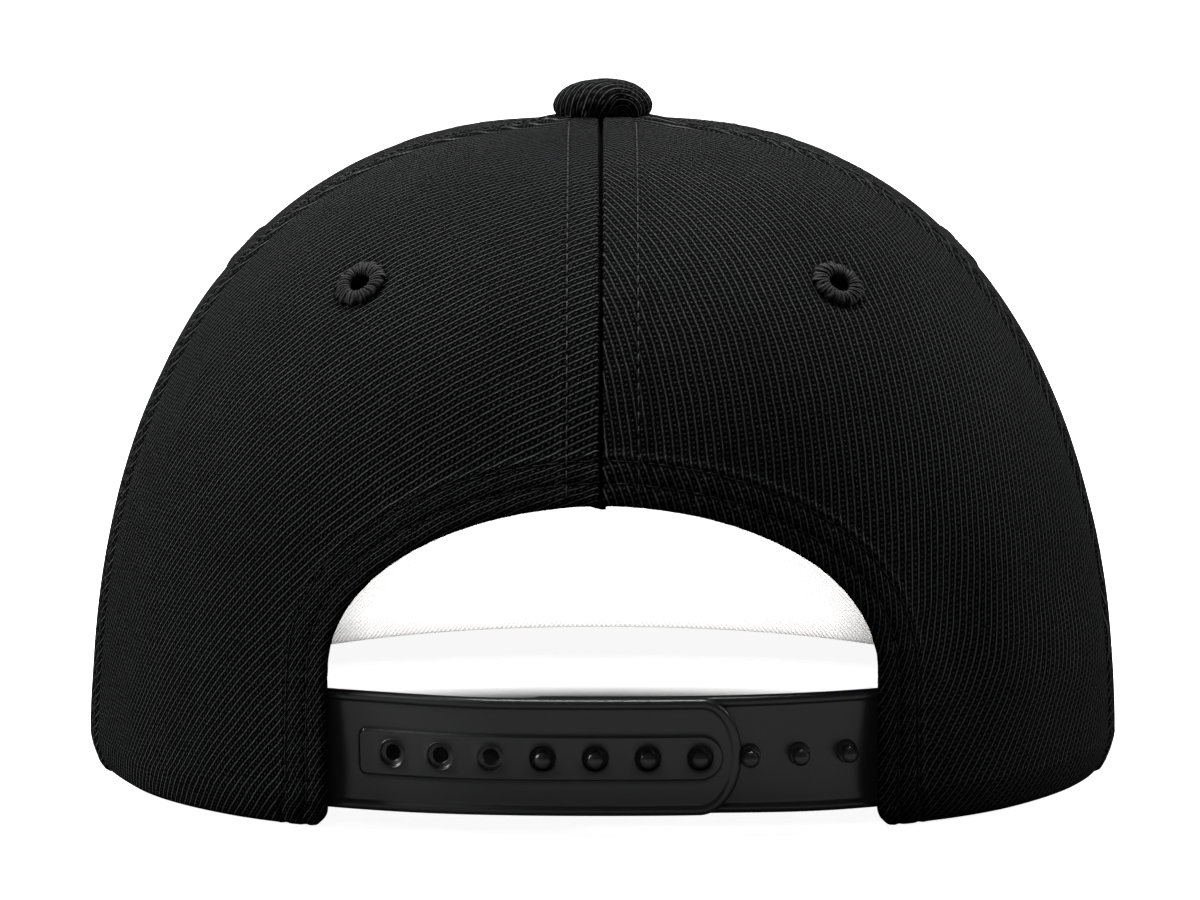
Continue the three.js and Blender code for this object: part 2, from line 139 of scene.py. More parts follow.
def closeAndTurn(mesh, merge=None):  # doubles merged within this many metres, faces turned outwards
    shape = bmesh.new()
    shape.from_mesh(mesh)
    if merge:
        bmesh.ops.remove_doubles(shape, verts=shape.verts, dist=merge)
    bmesh.ops.recalc_face_normals(shape, faces=shape.faces)
    shape.to_mesh(mesh)
    shape.free()


def settle(name, mesh, look, nodes=(), sharp=None):  # a finished mesh becomes a riding piece
    piece = bpy.data.objects.new(name, mesh)
    scene.collection.objects.link(piece)
    mesh.materials.clear()
    mesh.materials.append(look)
    mesh.shade_smooth()
    if sharp:
        mesh.set_sharp_from_angle(angle=radians(sharp))
    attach(piece, "root")
    if nodes:
        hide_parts(*nodes)
    return piece


def thicken(piece, wall, edge=0.2):  # a wall inwards from the outer face, with its cut edges rounded
    wallModifier = piece.modifiers.new("wall", "SOLIDIFY")
    wallModifier.thickness = wall * 0.001
    wallModifier.offset = -1
    roundModifier = piece.modifiers.new("edge", "BEVEL")
    roundModifier.width = edge * 0.001
    roundModifier.segments = 3
    roundModifier.limit_method = "ANGLE"
    roundModifier.angle_limit = radians(55)


# Crown form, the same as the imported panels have

crown = {
    "halfWidth": 88.5, "backLength": 96, "frontLength": 100, "height": 108.4,
    "planPower": 2.4, "backPower": 2.58, "frontPower": 2.9, "topPower": 2.28,
    "wall": 1.6, "tuckDepth": 2.4, "tuckHeight": 8.6,
    "peakArch": 6, "peakHalfWidth": 90, "topHole": 2.4, "seamTuck": 0.5,
}
dents = [  # angle from the back, height and spreads as shares of the crown's height, depth
    (37, 0.28, 4.5, 0.15, 1.1),
    (52, 0.16, 8, 0.12, 0.7),
    (66, 0.34, 9, 0.2, -0.6),
    (-46, 0.4, 9, 0.16, 0.6),
    (-62, 0.2, 8, 0.18, 0.7),
    (-36, 0.12, 6, 0.1, -0.5),
    (-57, 0.62, 2.0, 0.07, -0.4),
    (-66, 0.45, 2.0, 0.09, -0.4),
]


def frontShare(theta):
    return ease(0, 0.5, -np.cos(theta))


def riseAt(height):
    return np.arcsin(np.clip(height / crown["height"], 0, 1) ** (crown["topPower"] / 2))


def heightAt(rise):
    return crown["height"] * np.sin(rise) ** (2 / crown["topPower"])


def crownSpans(theta, rise):  # how far the crown reaches sideways and lengthways at this rise
    front = np.cos(theta) < 0
    power = np.where(front, crown["frontPower"], crown["backPower"])
    length = np.where(front, crown["frontLength"], crown["backLength"])
    tuckDepth = crown["tuckDepth"] * (1 - frontShare(theta))
    low = np.maximum(0, 1 - heightAt(rise) / crown["tuckHeight"])
    tuck = 1 - tuckDepth / crown["halfWidth"] * low ** 2
    across = crown["halfWidth"] * np.cos(rise) ** (2 / crown["backPower"]) * tuck
    return across, length * np.cos(rise) ** (2 / power) * tuck


def crownPlain(theta, rise):
    rise = np.minimum(rise, pi / 2 - 1e-6)
    across, along = crownSpans(theta, rise)
    power = crown["planPower"]
    sideways = np.abs(np.sin(theta) / across) ** power
    lengthways = np.abs(np.cos(theta) / along) ** power
    radius = (sideways + lengthways) ** (-1 / power)
    width = np.sin(theta) * crown["halfWidth"] / crown["peakHalfWidth"]
    lift = crown["peakArch"] * (1 - width ** 2) * frontShare(theta)
    height = lift + heightAt(rise) * (1 - lift / crown["height"])
    return np.stack([radius * np.sin(theta), -radius * np.cos(theta), height], axis=-1)


def crownNormal(theta, rise):
    step = 1e-3
    low = np.maximum(rise - step, 1e-4)
    high = np.minimum(rise + step, pi / 2 - 1e-4)
    around = crownPlain(theta + step, rise) - crownPlain(theta - step, rise)
    return unit(np.cross(around, crownPlain(theta, high) - crownPlain(theta, low)))


def dentDepth(theta, rise):
    height = np.sin(rise) ** (2 / crown["topPower"])
    depth = np.zeros(np.broadcast(theta, rise).shape)
    for angle, middle, angleSpread, heightSpread, deep in dents:
        sideways = (np.degrees(theta) - angle) / angleSpread
        depth += deep * np.exp(-(sideways ** 2) - ((height - middle) / heightSpread) ** 2)
    return depth


# Lengths over the crown, so that rows and cloth can be measured along it. The rises in the tables
# crowd together towards the top, where the crown flattens quickly.

tableAngles = np.radians(np.arange(0, 181, 1.0))
tableShares = np.linspace(1, 0, 401)
tableRises = pi / 2 * (1 - tableShares ** 2)
tablePoints = crownPlain(tableAngles[:, None], tableRises[None, :])
upSteps = np.linalg.norm(np.diff(tablePoints, axis=1), axis=-1)
reachTable = np.concatenate([np.cumsum(upSteps[:, ::-1], axis=1)[:, ::-1], np.zeros((181, 1))], axis=1)
sideSteps = np.linalg.norm(np.diff(tablePoints, axis=0), axis=-1)
aroundTable = np.concatenate([np.zeros((1, 401)), np.cumsum(sideSteps, axis=0)])


def fromTable(table, theta, share):
    row = np.clip(np.degrees(np.abs(theta)), 0, 179.999)
    column = np.clip((1 - share) * 400, 0, 399.999)
    i, j = row.astype(int), column.astype(int)
    di, dj = row - i, column - j
    low = table[i, j] * (1 - dj) + table[i, j + 1] * dj
    return low * (1 - di) + (table[i + 1, j] * (1 - dj) + table[i + 1, j + 1] * dj) * di


def shareOf(rise):
    return np.sqrt(np.clip(1 - rise / (pi / 2), 0, 1))


def reachOf(theta, rise):  # length of cloth from the top of the crown down to here
    return fromTable(reachTable, theta, shareOf(rise))


def riseAtReach(theta, reach):
    low, high = np.zeros_like(reach), np.ones_like(reach)
    for _ in range(26):
        middle = (low + high) / 2
        short = fromTable(reachTable, theta, middle) < reach
        low, high = np.where(short, middle, low), np.where(short, high, middle)
    return pi / 2 * (1 - low ** 2)


def aroundOf(theta, rise):  # signed length round the crown from the back centre seam
    return np.sign(theta) * fromTable(aroundTable, theta, shareOf(rise))


# Arched opening at the back

arch = {"halfWidth": 44.6, "side": 26, "rise": 27, "corner": 3.5}


def archOutline():  # from the middle of the round lower corner up to the top of the arch, as x and z
    turn = np.radians(np.linspace(225, 180, 16))
    over = np.radians(np.linspace(0, 90, 200))
    corner = arch["corner"]
    x = [arch["halfWidth"] + corner * (1 + np.cos(turn)), arch["halfWidth"] * np.cos(over)]
    z = [corner * (1 + np.sin(turn)), arch["side"] + arch["rise"] * np.sin(over)]
    upright = np.linspace(corner, arch["side"], 60)[1:-1]
    x.insert(1, np.full_like(upright, arch["halfWidth"]))
    z.insert(1, upright)
    return np.concatenate(x), np.concatenate(z)


def backAngles(x, z):  # the angle and rise of the spot on the crown's back with this x and height
    rise = riseAt(z)
    theta = np.full_like(x, 0.4)
    for _ in range(3):
        across, along = crownSpans(theta, rise)
        inside = np.maximum(0, 1 - (np.abs(x) / across) ** crown["planPower"])
        theta = np.arctan2(x, along * inside ** (1 / crown["planPower"]))
    return theta, rise


archX, archZ = archOutline()
archTheta, archRiseAngles = backAngles(archX, archZ)
archPoints = crownPlain(archTheta, archRiseAngles)
archLengths = lengthAlong(archPoints)


def archDistance(points):  # distance from the arch's edge, and the place along it
    mirrored = np.column_stack([np.abs(points[:, 0]), points[:, 1:]])
    nearest = np.full(len(points), 1e3)
    index = np.zeros(len(points), dtype=int)
    for number, spot in enumerate(archPoints):
        away = np.linalg.norm(mirrored - spot, axis=-1)
        index = np.where(away < nearest, number, index)
        nearest = np.minimum(nearest, away)
    where = archLengths[index]
    for step in (-1, 0):
        first = np.clip(index + step, 0, len(archPoints) - 2)
        line = archPoints[first + 1] - archPoints[first]
        offset = mirrored - archPoints[first]
        share = np.clip(np.sum(offset * line, axis=-1) / np.sum(line * line, axis=-1), 0, 1)
        away = np.linalg.norm(offset - line * share[:, None], axis=-1)
        length = archLengths[first] + share * (archLengths[first + 1] - archLengths[first])
        where = np.where(away < nearest, length, where)
        nearest = np.minimum(nearest, away)
    return nearest, where


# Cloth relief: seams roll in, the cloth is thicker over the folded allowances, and rows of
# stitches pull it down. Each seam has its angle, how far its stitch rows lie from it, how much
# the allowance stands proud and how deep the seam sinks.

seams = [
    {"angle": 0, "row": 5.8, "band": 0.3, "groove": 1.0},
    {"angle": 72, "row": 1.9, "band": 0.5, "groove": 0.9},
    {"angle": 127, "row": 1.9, "band": 0.2, "groove": 0.6},
    {"angle": 180, "row": 4.5, "band": 0.25, "groove": 0.7},
]
centreGap = {"width": 0.55, "wall": 0.3, "depth": 2.4, "lip": 0.12}
bulk = {"rise": 1.35, "start": 6.5, "end": 16}  # six seams' allowances meet under the button
hem = {"rows": (3.6, 7.3), "band": 0.4, "fold": 0.75, "foldWidth": 1.3, "pucker": 0.3, "turn": 0.3}
eyelet = {
    "below": 22.4, "barrel": 2.9, "radius": 4.5, "threads": 34, "columns": 8, "dimple": 0.35,
    "hidden": 0.5,  # how much of its height a ring at the sides or the front keeps
}
plainRib = {"turn": 0, "pitch": 1.25, "bend": 0, "drop": 0.5}  # how most panels' ribs curve and are spaced
panels = {  # angles of the two seams and of the eyelet, and the slope and course of the twill's ribs
    "back_left": {
        "from": 0, "to": -72, "eyelet": -35, "rib": 47, "turn": 0.0071, "pitch": 1.17, "bend": 0, "drop": -1,
    },
    "back_right": {**plainRib, "from": 0, "to": 72, "eyelet": 33.9, "rib": 80, "pitch": 1.33, "bend": 1},
    "side_left": {**plainRib, "from": -72, "to": -127, "rib": 62},
    "side_right": {**plainRib, "from": 72, "to": 127, "rib": 58},
    "front_left": {**plainRib, "from": -127, "to": -180, "rib": 48},
    "front_right": {**plainRib, "from": 127, "to": 180, "rib": 50},
}
floatLength = 0.9  # spacing of the raised floats along a rib


def eyeletSpot(panel):
    theta = np.array([radians(panel.get("eyelet", (panel["from"] + panel["to"]) / 2))])
    rise = riseAt(np.array([crown["height"] - eyelet["below"]]))
    spot = crownPlain(theta, rise) - crownNormal(theta, rise) * dentDepth(theta, rise)[:, None]
    return spot[0], crownNormal(theta, rise)[0]


eyeletSpots = [eyeletSpot(panel)[0] for panel in panels.values()]


def fromSeam(seam, theta, rise):  # distance round the crown from this seam, left or right alike
    edge = np.radians(seam["angle"]) * np.ones_like(theta)
    return np.abs(np.abs(aroundOf(theta, rise)) - np.abs(aroundOf(edge, rise)))


def gapAt(away):  # 1 in the open gap of the back centre seam
    return 1 - ease(centreGap["width"], centreGap["width"] + centreGap["wall"], away)


def relief(theta, rise, points):
    around = np.abs(aroundOf(theta, rise))
    down = reachOf(theta, rise)
    out = np.zeros(len(points))
    for seam in seams:
        away = fromSeam(seam, theta, rise)
        allowance = seam["row"] + 0.9
        pull = ripple(down * 1.25, seam["angle"] + np.sign(theta)) * 0.1
        out += seam["band"] * (1 - ease(allowance, allowance + 1.1, away)) * ease(4, 16, down)
        if seam["angle"] == 0:  # a dark gap between the left half and the right one's crisp fold
            out -= np.where(theta <= 0, centreGap["depth"] * gapAt(away), seam["groove"] * dip(away, 0.16))
            out += np.where(theta > 0, centreGap["lip"] * dip(away - 0.7, 0.6), 0)
        else:
            out -= seam["groove"] * dip(away, 0.34)
        out -= (0.2 + pull) * dip(away - seam["row"], 0.5) * ease(6, 10, down)
        out += pull * dip(away - seam["row"] * 0.5, seam["row"] * 0.4) * 0.7
    away, where = archDistance(points)
    inBack = np.abs(theta) < radians(73)
    wave = ripple(where * 0.95, 3 + np.sign(theta)) + 0.5 * ripple(where * 2.1, 5 + np.sign(theta))
    band = hem["band"] * (1 - ease(8.1, 9.3, away))
    fold = -hem["fold"] * np.clip(1 - away / hem["foldWidth"], 0, 1) ** 2
    rows = sum(dip(away - row, 0.55) for row in hem["rows"])
    puffs = dip(away - 2, 2.2) * 0.8 + dip(away - 5.5, 1.6) * 0.55 + dip(away - 9.6, 2.4) * 0.4
    pucker = hem["pucker"] * wave * puffs
    out += np.where(inBack, band + fold - 0.24 * rows + pucker, 0)
    fromEdge = reachOf(theta, np.zeros_like(rise)) - down
    out += 0.3 * (1 - ease(6.5, 8, fromEdge)) * frontShare(-theta + pi) * (1 - band / hem["band"] * inBack)
    out -= 0.5 * np.clip(1 - fromEdge / 1.2, 0, 1) ** 2
    for spot in eyeletSpots:
        near = np.linalg.norm(points - spot, axis=-1)
        out -= eyelet["dimple"] * dip(near - eyelet["radius"], 1.6)
    out += bulk["rise"] * (1 - ease(bulk["start"], bulk["end"], down))
    soft = ripple(around * 0.16 + down * 0.05, 2 + np.sign(theta)) * ripple(down * 0.11, 1 + np.sign(theta))
    return out + 0.22 * soft * ease(8, 30, down)


def paintedSeamShade(theta, rise, points):  # painted shade: 1 deep in a seam, less in a stitch row, 0 on open cloth
    dark = np.zeros(len(points))
    for seam in seams:
        away = fromSeam(seam, theta, rise)
        inGap = gapAt(away) * (theta <= 0) if seam["angle"] == 0 else 0.45 * dip(away, 0.4)
        dark = np.maximum(dark, np.maximum(inGap, 0.4 * dip(away - seam["row"], 0.45)))
    away, _ = archDistance(points)
    # painted shade in the hem's stitch rows and at the arch's folded edge
    rows = sum(dip(away - row, 0.32) for row in hem["rows"]) * 0.7
    return np.maximum(dark, np.where(np.abs(theta) < radians(73), rows + 0.6 * dip(away, 0.5), 0))


def onCloth(theta, rise):  # spots on the finished outer face, and the direction out of it
    plain = crownPlain(theta, rise)
    normal = crownNormal(theta, rise)
    raised = relief(theta, rise, plain) - dentDepth(theta, rise)
    points = plain + normal * raised[:, None]
    points[:, 2] = np.maximum(points[:, 2], 0)
    return points, normal


# Panels

def patchBetween(shares, left, right, lower, upper, u, v):  # a four-sided patch between four curves
    def along(curve, share):
        lengths = lengthAlong(curve)
        return np.stack([np.interp(share * lengths[-1], lengths, curve[:, k]) for k in range(2)], axis=-1)

    cu, cv = shares
    leftSide, rightSide = along(left, cv)[v], along(right, cv)[v]
    lowerSide, upperSide = along(lower, cu)[u], along(upper, cu)[u]
    a, b = cu[u][:, None], cv[v][:, None]
    lowerCorners = (1 - a) * (1 - b) * lower[0] + a * (1 - b) * lower[-1]
    corners = lowerCorners + (1 - a) * b * upper[0] + a * b * upper[-1]
    return (1 - a) * leftSide + a * rightSide + (1 - b) * lowerSide + b * upperSide - corners


def flat(theta, rise):  # a flat map of the crown round its top
    reach = reachOf(theta, rise)
    return np.stack([reach * np.sin(theta), -reach * np.cos(theta)], axis=-1)


def backPatch(u, v, columns, rows):
    turn = radians(panels["back_right"]["to"])
    toTop = np.linspace(1, 0, 300)
    sideBase = reachOf(np.array([turn]), np.array([0.0]))[0]
    sideReach = crown["topHole"] + (sideBase - crown["topHole"]) * toTop
    rim = np.linspace(turn, 0, 12)[1:]
    side = np.concatenate([
        np.stack([sideReach * sin(turn), -sideReach * cos(turn)], axis=-1),
        crown["topHole"] * np.stack([np.sin(rim), -np.cos(rim)], axis=-1),
    ])
    edge = flat(archTheta, archRiseAngles)
    centre = np.stack([np.zeros(50), np.linspace(edge[-1, 1], -crown["topHole"], 50)], axis=-1)
    cornerTurn = np.radians(np.linspace(225, 270, 12))
    cornerX = arch["halfWidth"] + arch["corner"] * (1 + np.cos(cornerTurn))
    cornerTheta, cornerRise = backAngles(cornerX, arch["corner"] * (1 + np.sin(cornerTurn)))
    baseTheta = np.linspace(cornerTheta[-1], turn, 80)
    base = np.concatenate([flat(cornerTheta, cornerRise)[:-1], flat(baseTheta, np.zeros(80))])
    shares = (spread(columns, 2.2, 0.9, 0.1), spread(rows, 0.6, 4.5, 0.03))
    spots = patchBetween(shares, edge, side, base, centre, u, v)
    reach = np.linalg.norm(spots, axis=-1)
    theta = np.arctan2(spots[:, 0], -spots[:, 1])
    return theta, riseAtReach(theta, reach)


def plainPatch(panel, u, v, columns, rows):
    near, far = sorted((abs(panel["from"]), abs(panel["to"])))
    theta = np.radians(near + (far - near) * spread(columns, 1.2, 1.2, 0.08)[u])
    share = spread(rows, 1.4, 0, 0.05)[v]
    base = reachOf(theta, np.zeros_like(theta))
    return theta, riseAtReach(theta, base + (crown["topHole"] - base) * share)


course = {  # how the ribs leave a straight line, in millimetres up (s) and round (t) from the panel's foot
    "straightTo": 18, "bentBy": 20, "lean": 0.49, "sweepFrom": 60, "sweep": 2.9e-5,
    "squeeze": 0.2, "squeezeTo": 38, "turnedFrom": -20, "hemWidth": 8.2, "leftHem": -1.4,
}


def clothCoordinates(panel, theta, rise, isBack=False):
    middle = np.radians((panel["from"] + panel["to"]) / 2) * np.ones_like(theta)
    t = aroundOf(theta, rise) - aroundOf(middle, rise)
    s = reachOf(theta, np.zeros_like(rise)) - reachOf(theta, rise)
    slope = radians(panel["rib"])
    bend = np.clip((s - course["straightTo"]) / course["bentBy"], 0, None)
    bent = np.where(bend < 1, bend ** 3 - np.minimum(bend, 1) ** 4 / 2, bend - 0.5)
    close = 1 - ease(course["straightTo"], course["squeezeTo"], s)
    squeeze = 1 - panel["bend"] * course["squeeze"] * close
    sweep = course["sweep"] * np.maximum(0, s - course["sweepFrom"]) ** 3
    lean = cos(slope) * s + panel["bend"] * (course["lean"] * (s - course["bentBy"] * bent) - sweep)
    turned = np.maximum(t, course["turnedFrom"])  # beyond this the ribs run straight
    across = -sin(slope) * squeeze * t + panel["turn"] * turned * (t - turned / 2) + lean
    along = cos(slope) * t + sin(slope) * s
    if isBack:  # the turned-in edge is bent, so its ribs lie closer and turn towards the edge
        away, _ = archDistance(crownPlain(theta, rise))
        towards = 1 if panel["to"] > 0 else course["leftHem"]
        across = across + hem["turn"] * np.maximum(0, course["hemWidth"] - away) * towards
    across = across / panel["pitch"]
    return across, along / floatLength + panel["drop"] * across


def makePanel(name, look):
    panel = panels[name]
    isBack = name.startswith("back")
    columns, rows = (150, 196) if isBack else (92, 132)
    mesh = meshOf(name + "_cloth", gridShape(columns, rows))
    u, v, _ = gridNumbers(mesh)
    theta, rise = backPatch(u, v, columns, rows) if isBack else plainPatch(panel, u, v, columns, rows)
    side = np.sign(panel["from"] + panel["to"])
    theta = theta * side
    points, _ = onCloth(theta, rise)
    if isBack:
        tuck = crown["seamTuck"] * dip(points[:, 0], 0.6)
        points[:, 0] -= side * tuck * (side < 0)  # the left half runs under the right one
    writePlaces(mesh, place(points))
    writeCloth(mesh, *clothCoordinates(panel, theta, rise, isBack))
    writePaintedShade(mesh, paintedSeamShade(theta, rise, crownPlain(theta, rise)))
    shape = bmesh.new()
    shape.from_mesh(mesh)
    spot = Vector(place(eyeletSpot(panel)[0]))
    holeSize = (eyelet["barrel"] + 0.25) * 0.001
    inHole = [face for face in shape.faces if (face.calc_center_median() - spot).length < holeSize]
    bmesh.ops.delete(shape, geom=inHole, context="FACES")
    inner = Vector((crownAxis.x, crownAxis.y, 0.04))
    if sum(face.normal.dot(face.calc_center_median() - inner) for face in shape.faces) < 0:
        bmesh.ops.reverse_faces(shape, faces=shape.faces)
    shape.to_mesh(mesh)
    shape.free()
    thicken(settle(name + "_cloth", mesh, look, [name + "_panel"]), crown["wall"])


# Threads: every stitch is a short tube whose ends dive into the cloth

stitch = {"length": 2.3, "gap": 0.28, "width": 0.26, "sink": 0.3, "proud": 0.1}
hemStitch = {**stitch, "proud": -0.02}


def sewRow(curve, points, normals, seed=0, size=stitch):
    lengths = lengthAlong(points)
    pitch = size["length"] + size["gap"]
    count = int(lengths[-1] / pitch)
    for number in range(count):
        drift = 0.12 * sin(number * 12.9898 + seed * 3.7)
        start = number * pitch + drift
        long = size["length"] * (1 + 0.09 * sin(number * 4.1 + seed))
        spots = start + long * np.array([0, 0.1, 0.5, 0.9, 1])
        sink, proud = size["sink"], size["proud"]
        lift = np.array([-sink, proud * 0.4, proud, proud * 0.4, -sink])
        at = np.stack([np.interp(spots, lengths, points[:, k]) for k in range(3)], axis=-1)
        up = unit(np.stack([np.interp(spots, lengths, normals[:, k]) for k in range(3)], axis=-1))
        spline = curve.splines.new("POLY")
        spline.points.add(4)
        threadSpots = place(at + up * lift[:, None])
        for point, spot, width in zip(spline.points, threadSpots, (0.7, 0.95, 1, 0.95, 0.7)):
            point.co = (*spot, 1)
            point.radius = width


def threadCurve(name, width):
    curve = bpy.data.curves.new(name, "CURVE")
    curve.dimensions = "3D"
    curve.bevel_depth = width * 0.0005
    curve.bevel_resolution = 1
    curve.use_fill_caps = True
    return curve


def finishThreads(name, curve, look):
    carrier = bpy.data.objects.new(name + "_path", curve)
    scene.collection.objects.link(carrier)
    bpy.context.view_layer.update()
    mesh = bpy.data.meshes.new_from_object(carrier.evaluated_get(bpy.context.evaluated_depsgraph_get()))
    bpy.data.objects.remove(carrier)
    return settle(name, mesh, look)


def seamRowPath(seam, side, towards, low=0.6, high=9):  # a stitch row beside a seam, from base to top
    theta = np.full(240, radians(seam["angle"])) * side
    base = reachOf(theta, np.zeros(240))
    if seam["angle"] == 0:  # the back centre seam starts at the top of the arch
        base = reachOf(theta, riseAt(np.full(240, arch["side"] + arch["rise"] + low)))
    rise = riseAtReach(theta, base - low + (high - base + low) * np.linspace(0, 1, 240))
    step = 1e-3
    around = crownPlain(theta + step, rise) - crownPlain(theta - step, rise)
    perAngle = np.linalg.norm(around, axis=-1) / (2 * step)
    return onCloth(theta + towards * seam["row"] / perAngle, rise)


def archRowPath(distance, side):  # a stitch row that follows the arch's edge
    normal = crownNormal(archTheta, archRiseAngles)
    ahead = unit(np.gradient(archPoints, axis=0))
    away = archPoints - unit(np.cross(normal, ahead)) * distance
    theta, rise = backAngles(away[:, 0], np.maximum(away[:, 2], 0))
    keep = (away[:, 2] > 0.8) & (away[:, 0] > 0.4)
    return onCloth(theta[keep] * side, rise[keep])


def sewCrown(look):
    curve = threadCurve("crown_stitches", stitch["width"])
    for side in (-1, 1):
        for distance in hem["rows"]:
            points, normals = archRowPath(distance, side)
            sewRow(curve, points, normals, seed=distance + side, size=hemStitch)
        for seam in seams:
            inner = seam["angle"] in (0, 180)
            for towards in ((1,) if inner else (-1, 1)):
                direction = -1 if seam["angle"] == 180 else towards
                points, normals = seamRowPath(seam, side, direction * side)
                sewRow(curve, points, normals, seed=seam["angle"] + side + towards)
    return finishThreads("crown_stitches", curve, look)


# Eyelets: a rounded ring of satin stitches round a hole, with a barrel through the cloth

eyeletProfile = [  # radius and height of the ring's section, from the hole's foot over the top and back
    (1.75, -2.0), (1.7, -1.4), (1.68, -0.75), (1.7, -0.2), (1.8, 0.18), (2.05, 0.45), (2.5, 0.62),
    (3.05, 0.67), (3.6, 0.58), (4.1, 0.4), (4.5, 0.14), (4.66, -0.14), (4.3, -0.34), (3.6, -0.42),
    (3.0, -0.5), (2.9, -1.1), (2.95, -1.75), (3.5, -1.8), (4.0, -1.9), (4.05, -2.1), (3.6, -2.3),
    (2.8, -2.35), (2.2, -2.25),
]


def makeEyelet(name, look):
    columns, rows = eyelet["threads"] * eyelet["columns"], len(eyeletProfile)
    mesh = meshOf("eyelet_" + name + "_thread", gridShape(columns, rows))
    column, row, _ = gridNumbers(mesh)
    u, v = column % columns, row % rows
    profile = np.array(eyeletProfile)
    radius, height = profile[v, 0], profile[v, 1]
    before, after = profile[(v - 1) % rows], profile[(v + 1) % rows]
    slope = unit(after - before)
    thread = u // eyelet["columns"]
    within = (u % eyelet["columns"]) / eyelet["columns"] * 2 - 1
    outside = 1.0 if "back" in name else eyelet["hidden"]
    bulge = (0.24 * np.sqrt(np.maximum(0, 1 - within ** 2)) - 0.16) * ease(1.5, 2.6, radius)
    loose = 0.26 * np.sin(thread * 2.4 + len(name)) * ease(3.4, 4.5, radius) * (height > -0.5)
    radius = radius - slope[:, 1] * -bulge + loose
    height = height + slope[:, 0] * bulge * (height > -0.6) + 0.08 * np.sin(thread * 3.3) * (height > 0.2)
    height = np.where(height > -0.6, height * outside - 0.3 * (1 - outside), height)
    turn = 0.1 * np.sin(thread * 1.9) * ease(2.4, 4.5, radius)
    angle = u / columns * tau + turn * tau / eyelet["threads"] * 2 + 0.05 * np.sin(radius * 2)
    middle, outward = eyeletSpot(panels[name])
    right = unit(np.cross([0, 0, 1], outward))
    upward = np.cross(outward, right)
    flatPart = radius[:, None] * (np.cos(angle)[:, None] * right + np.sin(angle)[:, None] * upward)
    writePlaces(mesh, place(middle + flatPart + (height + 0.02)[:, None] * outward))
    writeCloth(mesh, column / eyelet["columns"], row.astype(float))
    closeAndTurn(mesh, 1e-6)
    settle("eyelet_" + name + "_thread", mesh, look, ["eyelet_" + name])


# Button: a cloth-covered dome, gathered and pinched underneath

button = {
    "columns": 120, "rows": 64, "pleats": 13, "lean": 0.6, "pitch": 0.95,
    "fold": 0.9, "foldAngle": -62, "foldRadius": 7, "foldHeight": 1.2,
}
buttonProfile = [  # radius and height from the top down and back to the shank
    (0.0, 7.3), (2.0, 7.24), (4.0, 6.95), (5.6, 6.4), (6.9, 5.6), (7.75, 4.7), (8.2, 3.8), (8.35, 2.9),
    (8.2, 1.9), (7.7, 1.1), (6.6, 0.6), (4.2, 0.5), (1.9, 0.4), (1.8, -2.0), (1.7, -4.0), (0.0, -4.0),
]


def makeButton(look):
    shape = bmesh.new()
    bmesh.ops.create_uvsphere(shape, u_segments=button["columns"], v_segments=button["rows"], radius=1)
    mesh = meshOf("top_button_cloth", shape)
    ball = readPlaces(mesh)
    angle = np.arctan2(ball[:, 1], ball[:, 0])
    share = np.arccos(np.clip(ball[:, 2], -1, 1)) / pi
    profile = np.array(buttonProfile)
    lengths = lengthAlong(profile)
    fine = np.linspace(0, lengths[-1], 400)
    smoothProfile = np.stack([np.interp(fine, lengths, profile[:, k]) for k in range(2)], axis=-1)
    for _ in range(6):
        smoothProfile[1:-1] = (smoothProfile[:-2] + smoothProfile[1:-1] * 2 + smoothProfile[2:]) / 4
    where = share * lengths[-1]
    radius = np.interp(where, fine, smoothProfile[:, 0])
    height = np.interp(where, fine, smoothProfile[:, 1])
    under = ease(7.8, 11.2, where) * (1 - ease(13.5, 16, where))
    gather = 0.3 * np.sin(angle * button["pleats"] + 1.3 * np.sin(angle * 3)) * under
    foldAngle = radians(button["foldAngle"])
    turned = np.angle(np.exp(1j * (angle - foldAngle)))
    fromFold = turned + 0.05 * (where - 9)
    pinch = button["fold"] * dip(fromFold, 0.24) * ease(6.2, 8.6, where) * (1 - ease(13, 16, where))
    pinch = pinch - 0.5 * button["fold"] * dip(fromFold, 0.07) * ease(6, 8, where)
    dome = 1 - ease(10, 12, where)
    uneven = 0.12 * np.sin(angle * 2 + 0.6) * dome + 0.08 * np.sin(angle * 5) * under
    radius = radius + (gather - pinch * 1.4 + uneven) * (radius > 2.2)
    height = height + 0.15 * np.sin(angle + 0.5) * dome * (where > 0.1) + pinch * 0.5
    base = np.array([0, 0, crown["height"]])
    points = base + np.stack([radius * np.cos(angle), radius * np.sin(angle), height], axis=-1)
    writePlaces(mesh, place(points))
    lean = angle + button["lean"] + 0.35 * np.sin(angle * 2)
    foldRadius = button["foldRadius"]
    fold = np.array([foldRadius * cos(foldAngle), foldRadius * sin(foldAngle), button["foldHeight"]])
    across = np.linalg.norm(points - base - fold, axis=-1) / button["pitch"]  # ribs run round the fold
    writeCloth(mesh, across, where * np.cos(lean) / floatLength + across * 0.5)
    settle("top_button_cloth", mesh, look, ["top_button"])


# Peak: a stiffened board, covered with twill and quilted with rows parallel to its edge

peak = {
    "halfWidth": 90, "reach": 68, "thickness": 3.4, "cornerAngle": 110, "cornerWidth": 1.6, "clearance": 0.3,
    "columns": 190, "rows": 84, "firstRow": 4.2, "rowPitch": 6.6, "rowCount": 9, "dip": 0.32,
}
peakOutline = [(0, 1), (0.28, 0.985), (0.56, 0.93), (0.8, 0.79), (0.95, 0.55), (1, 0.3)]


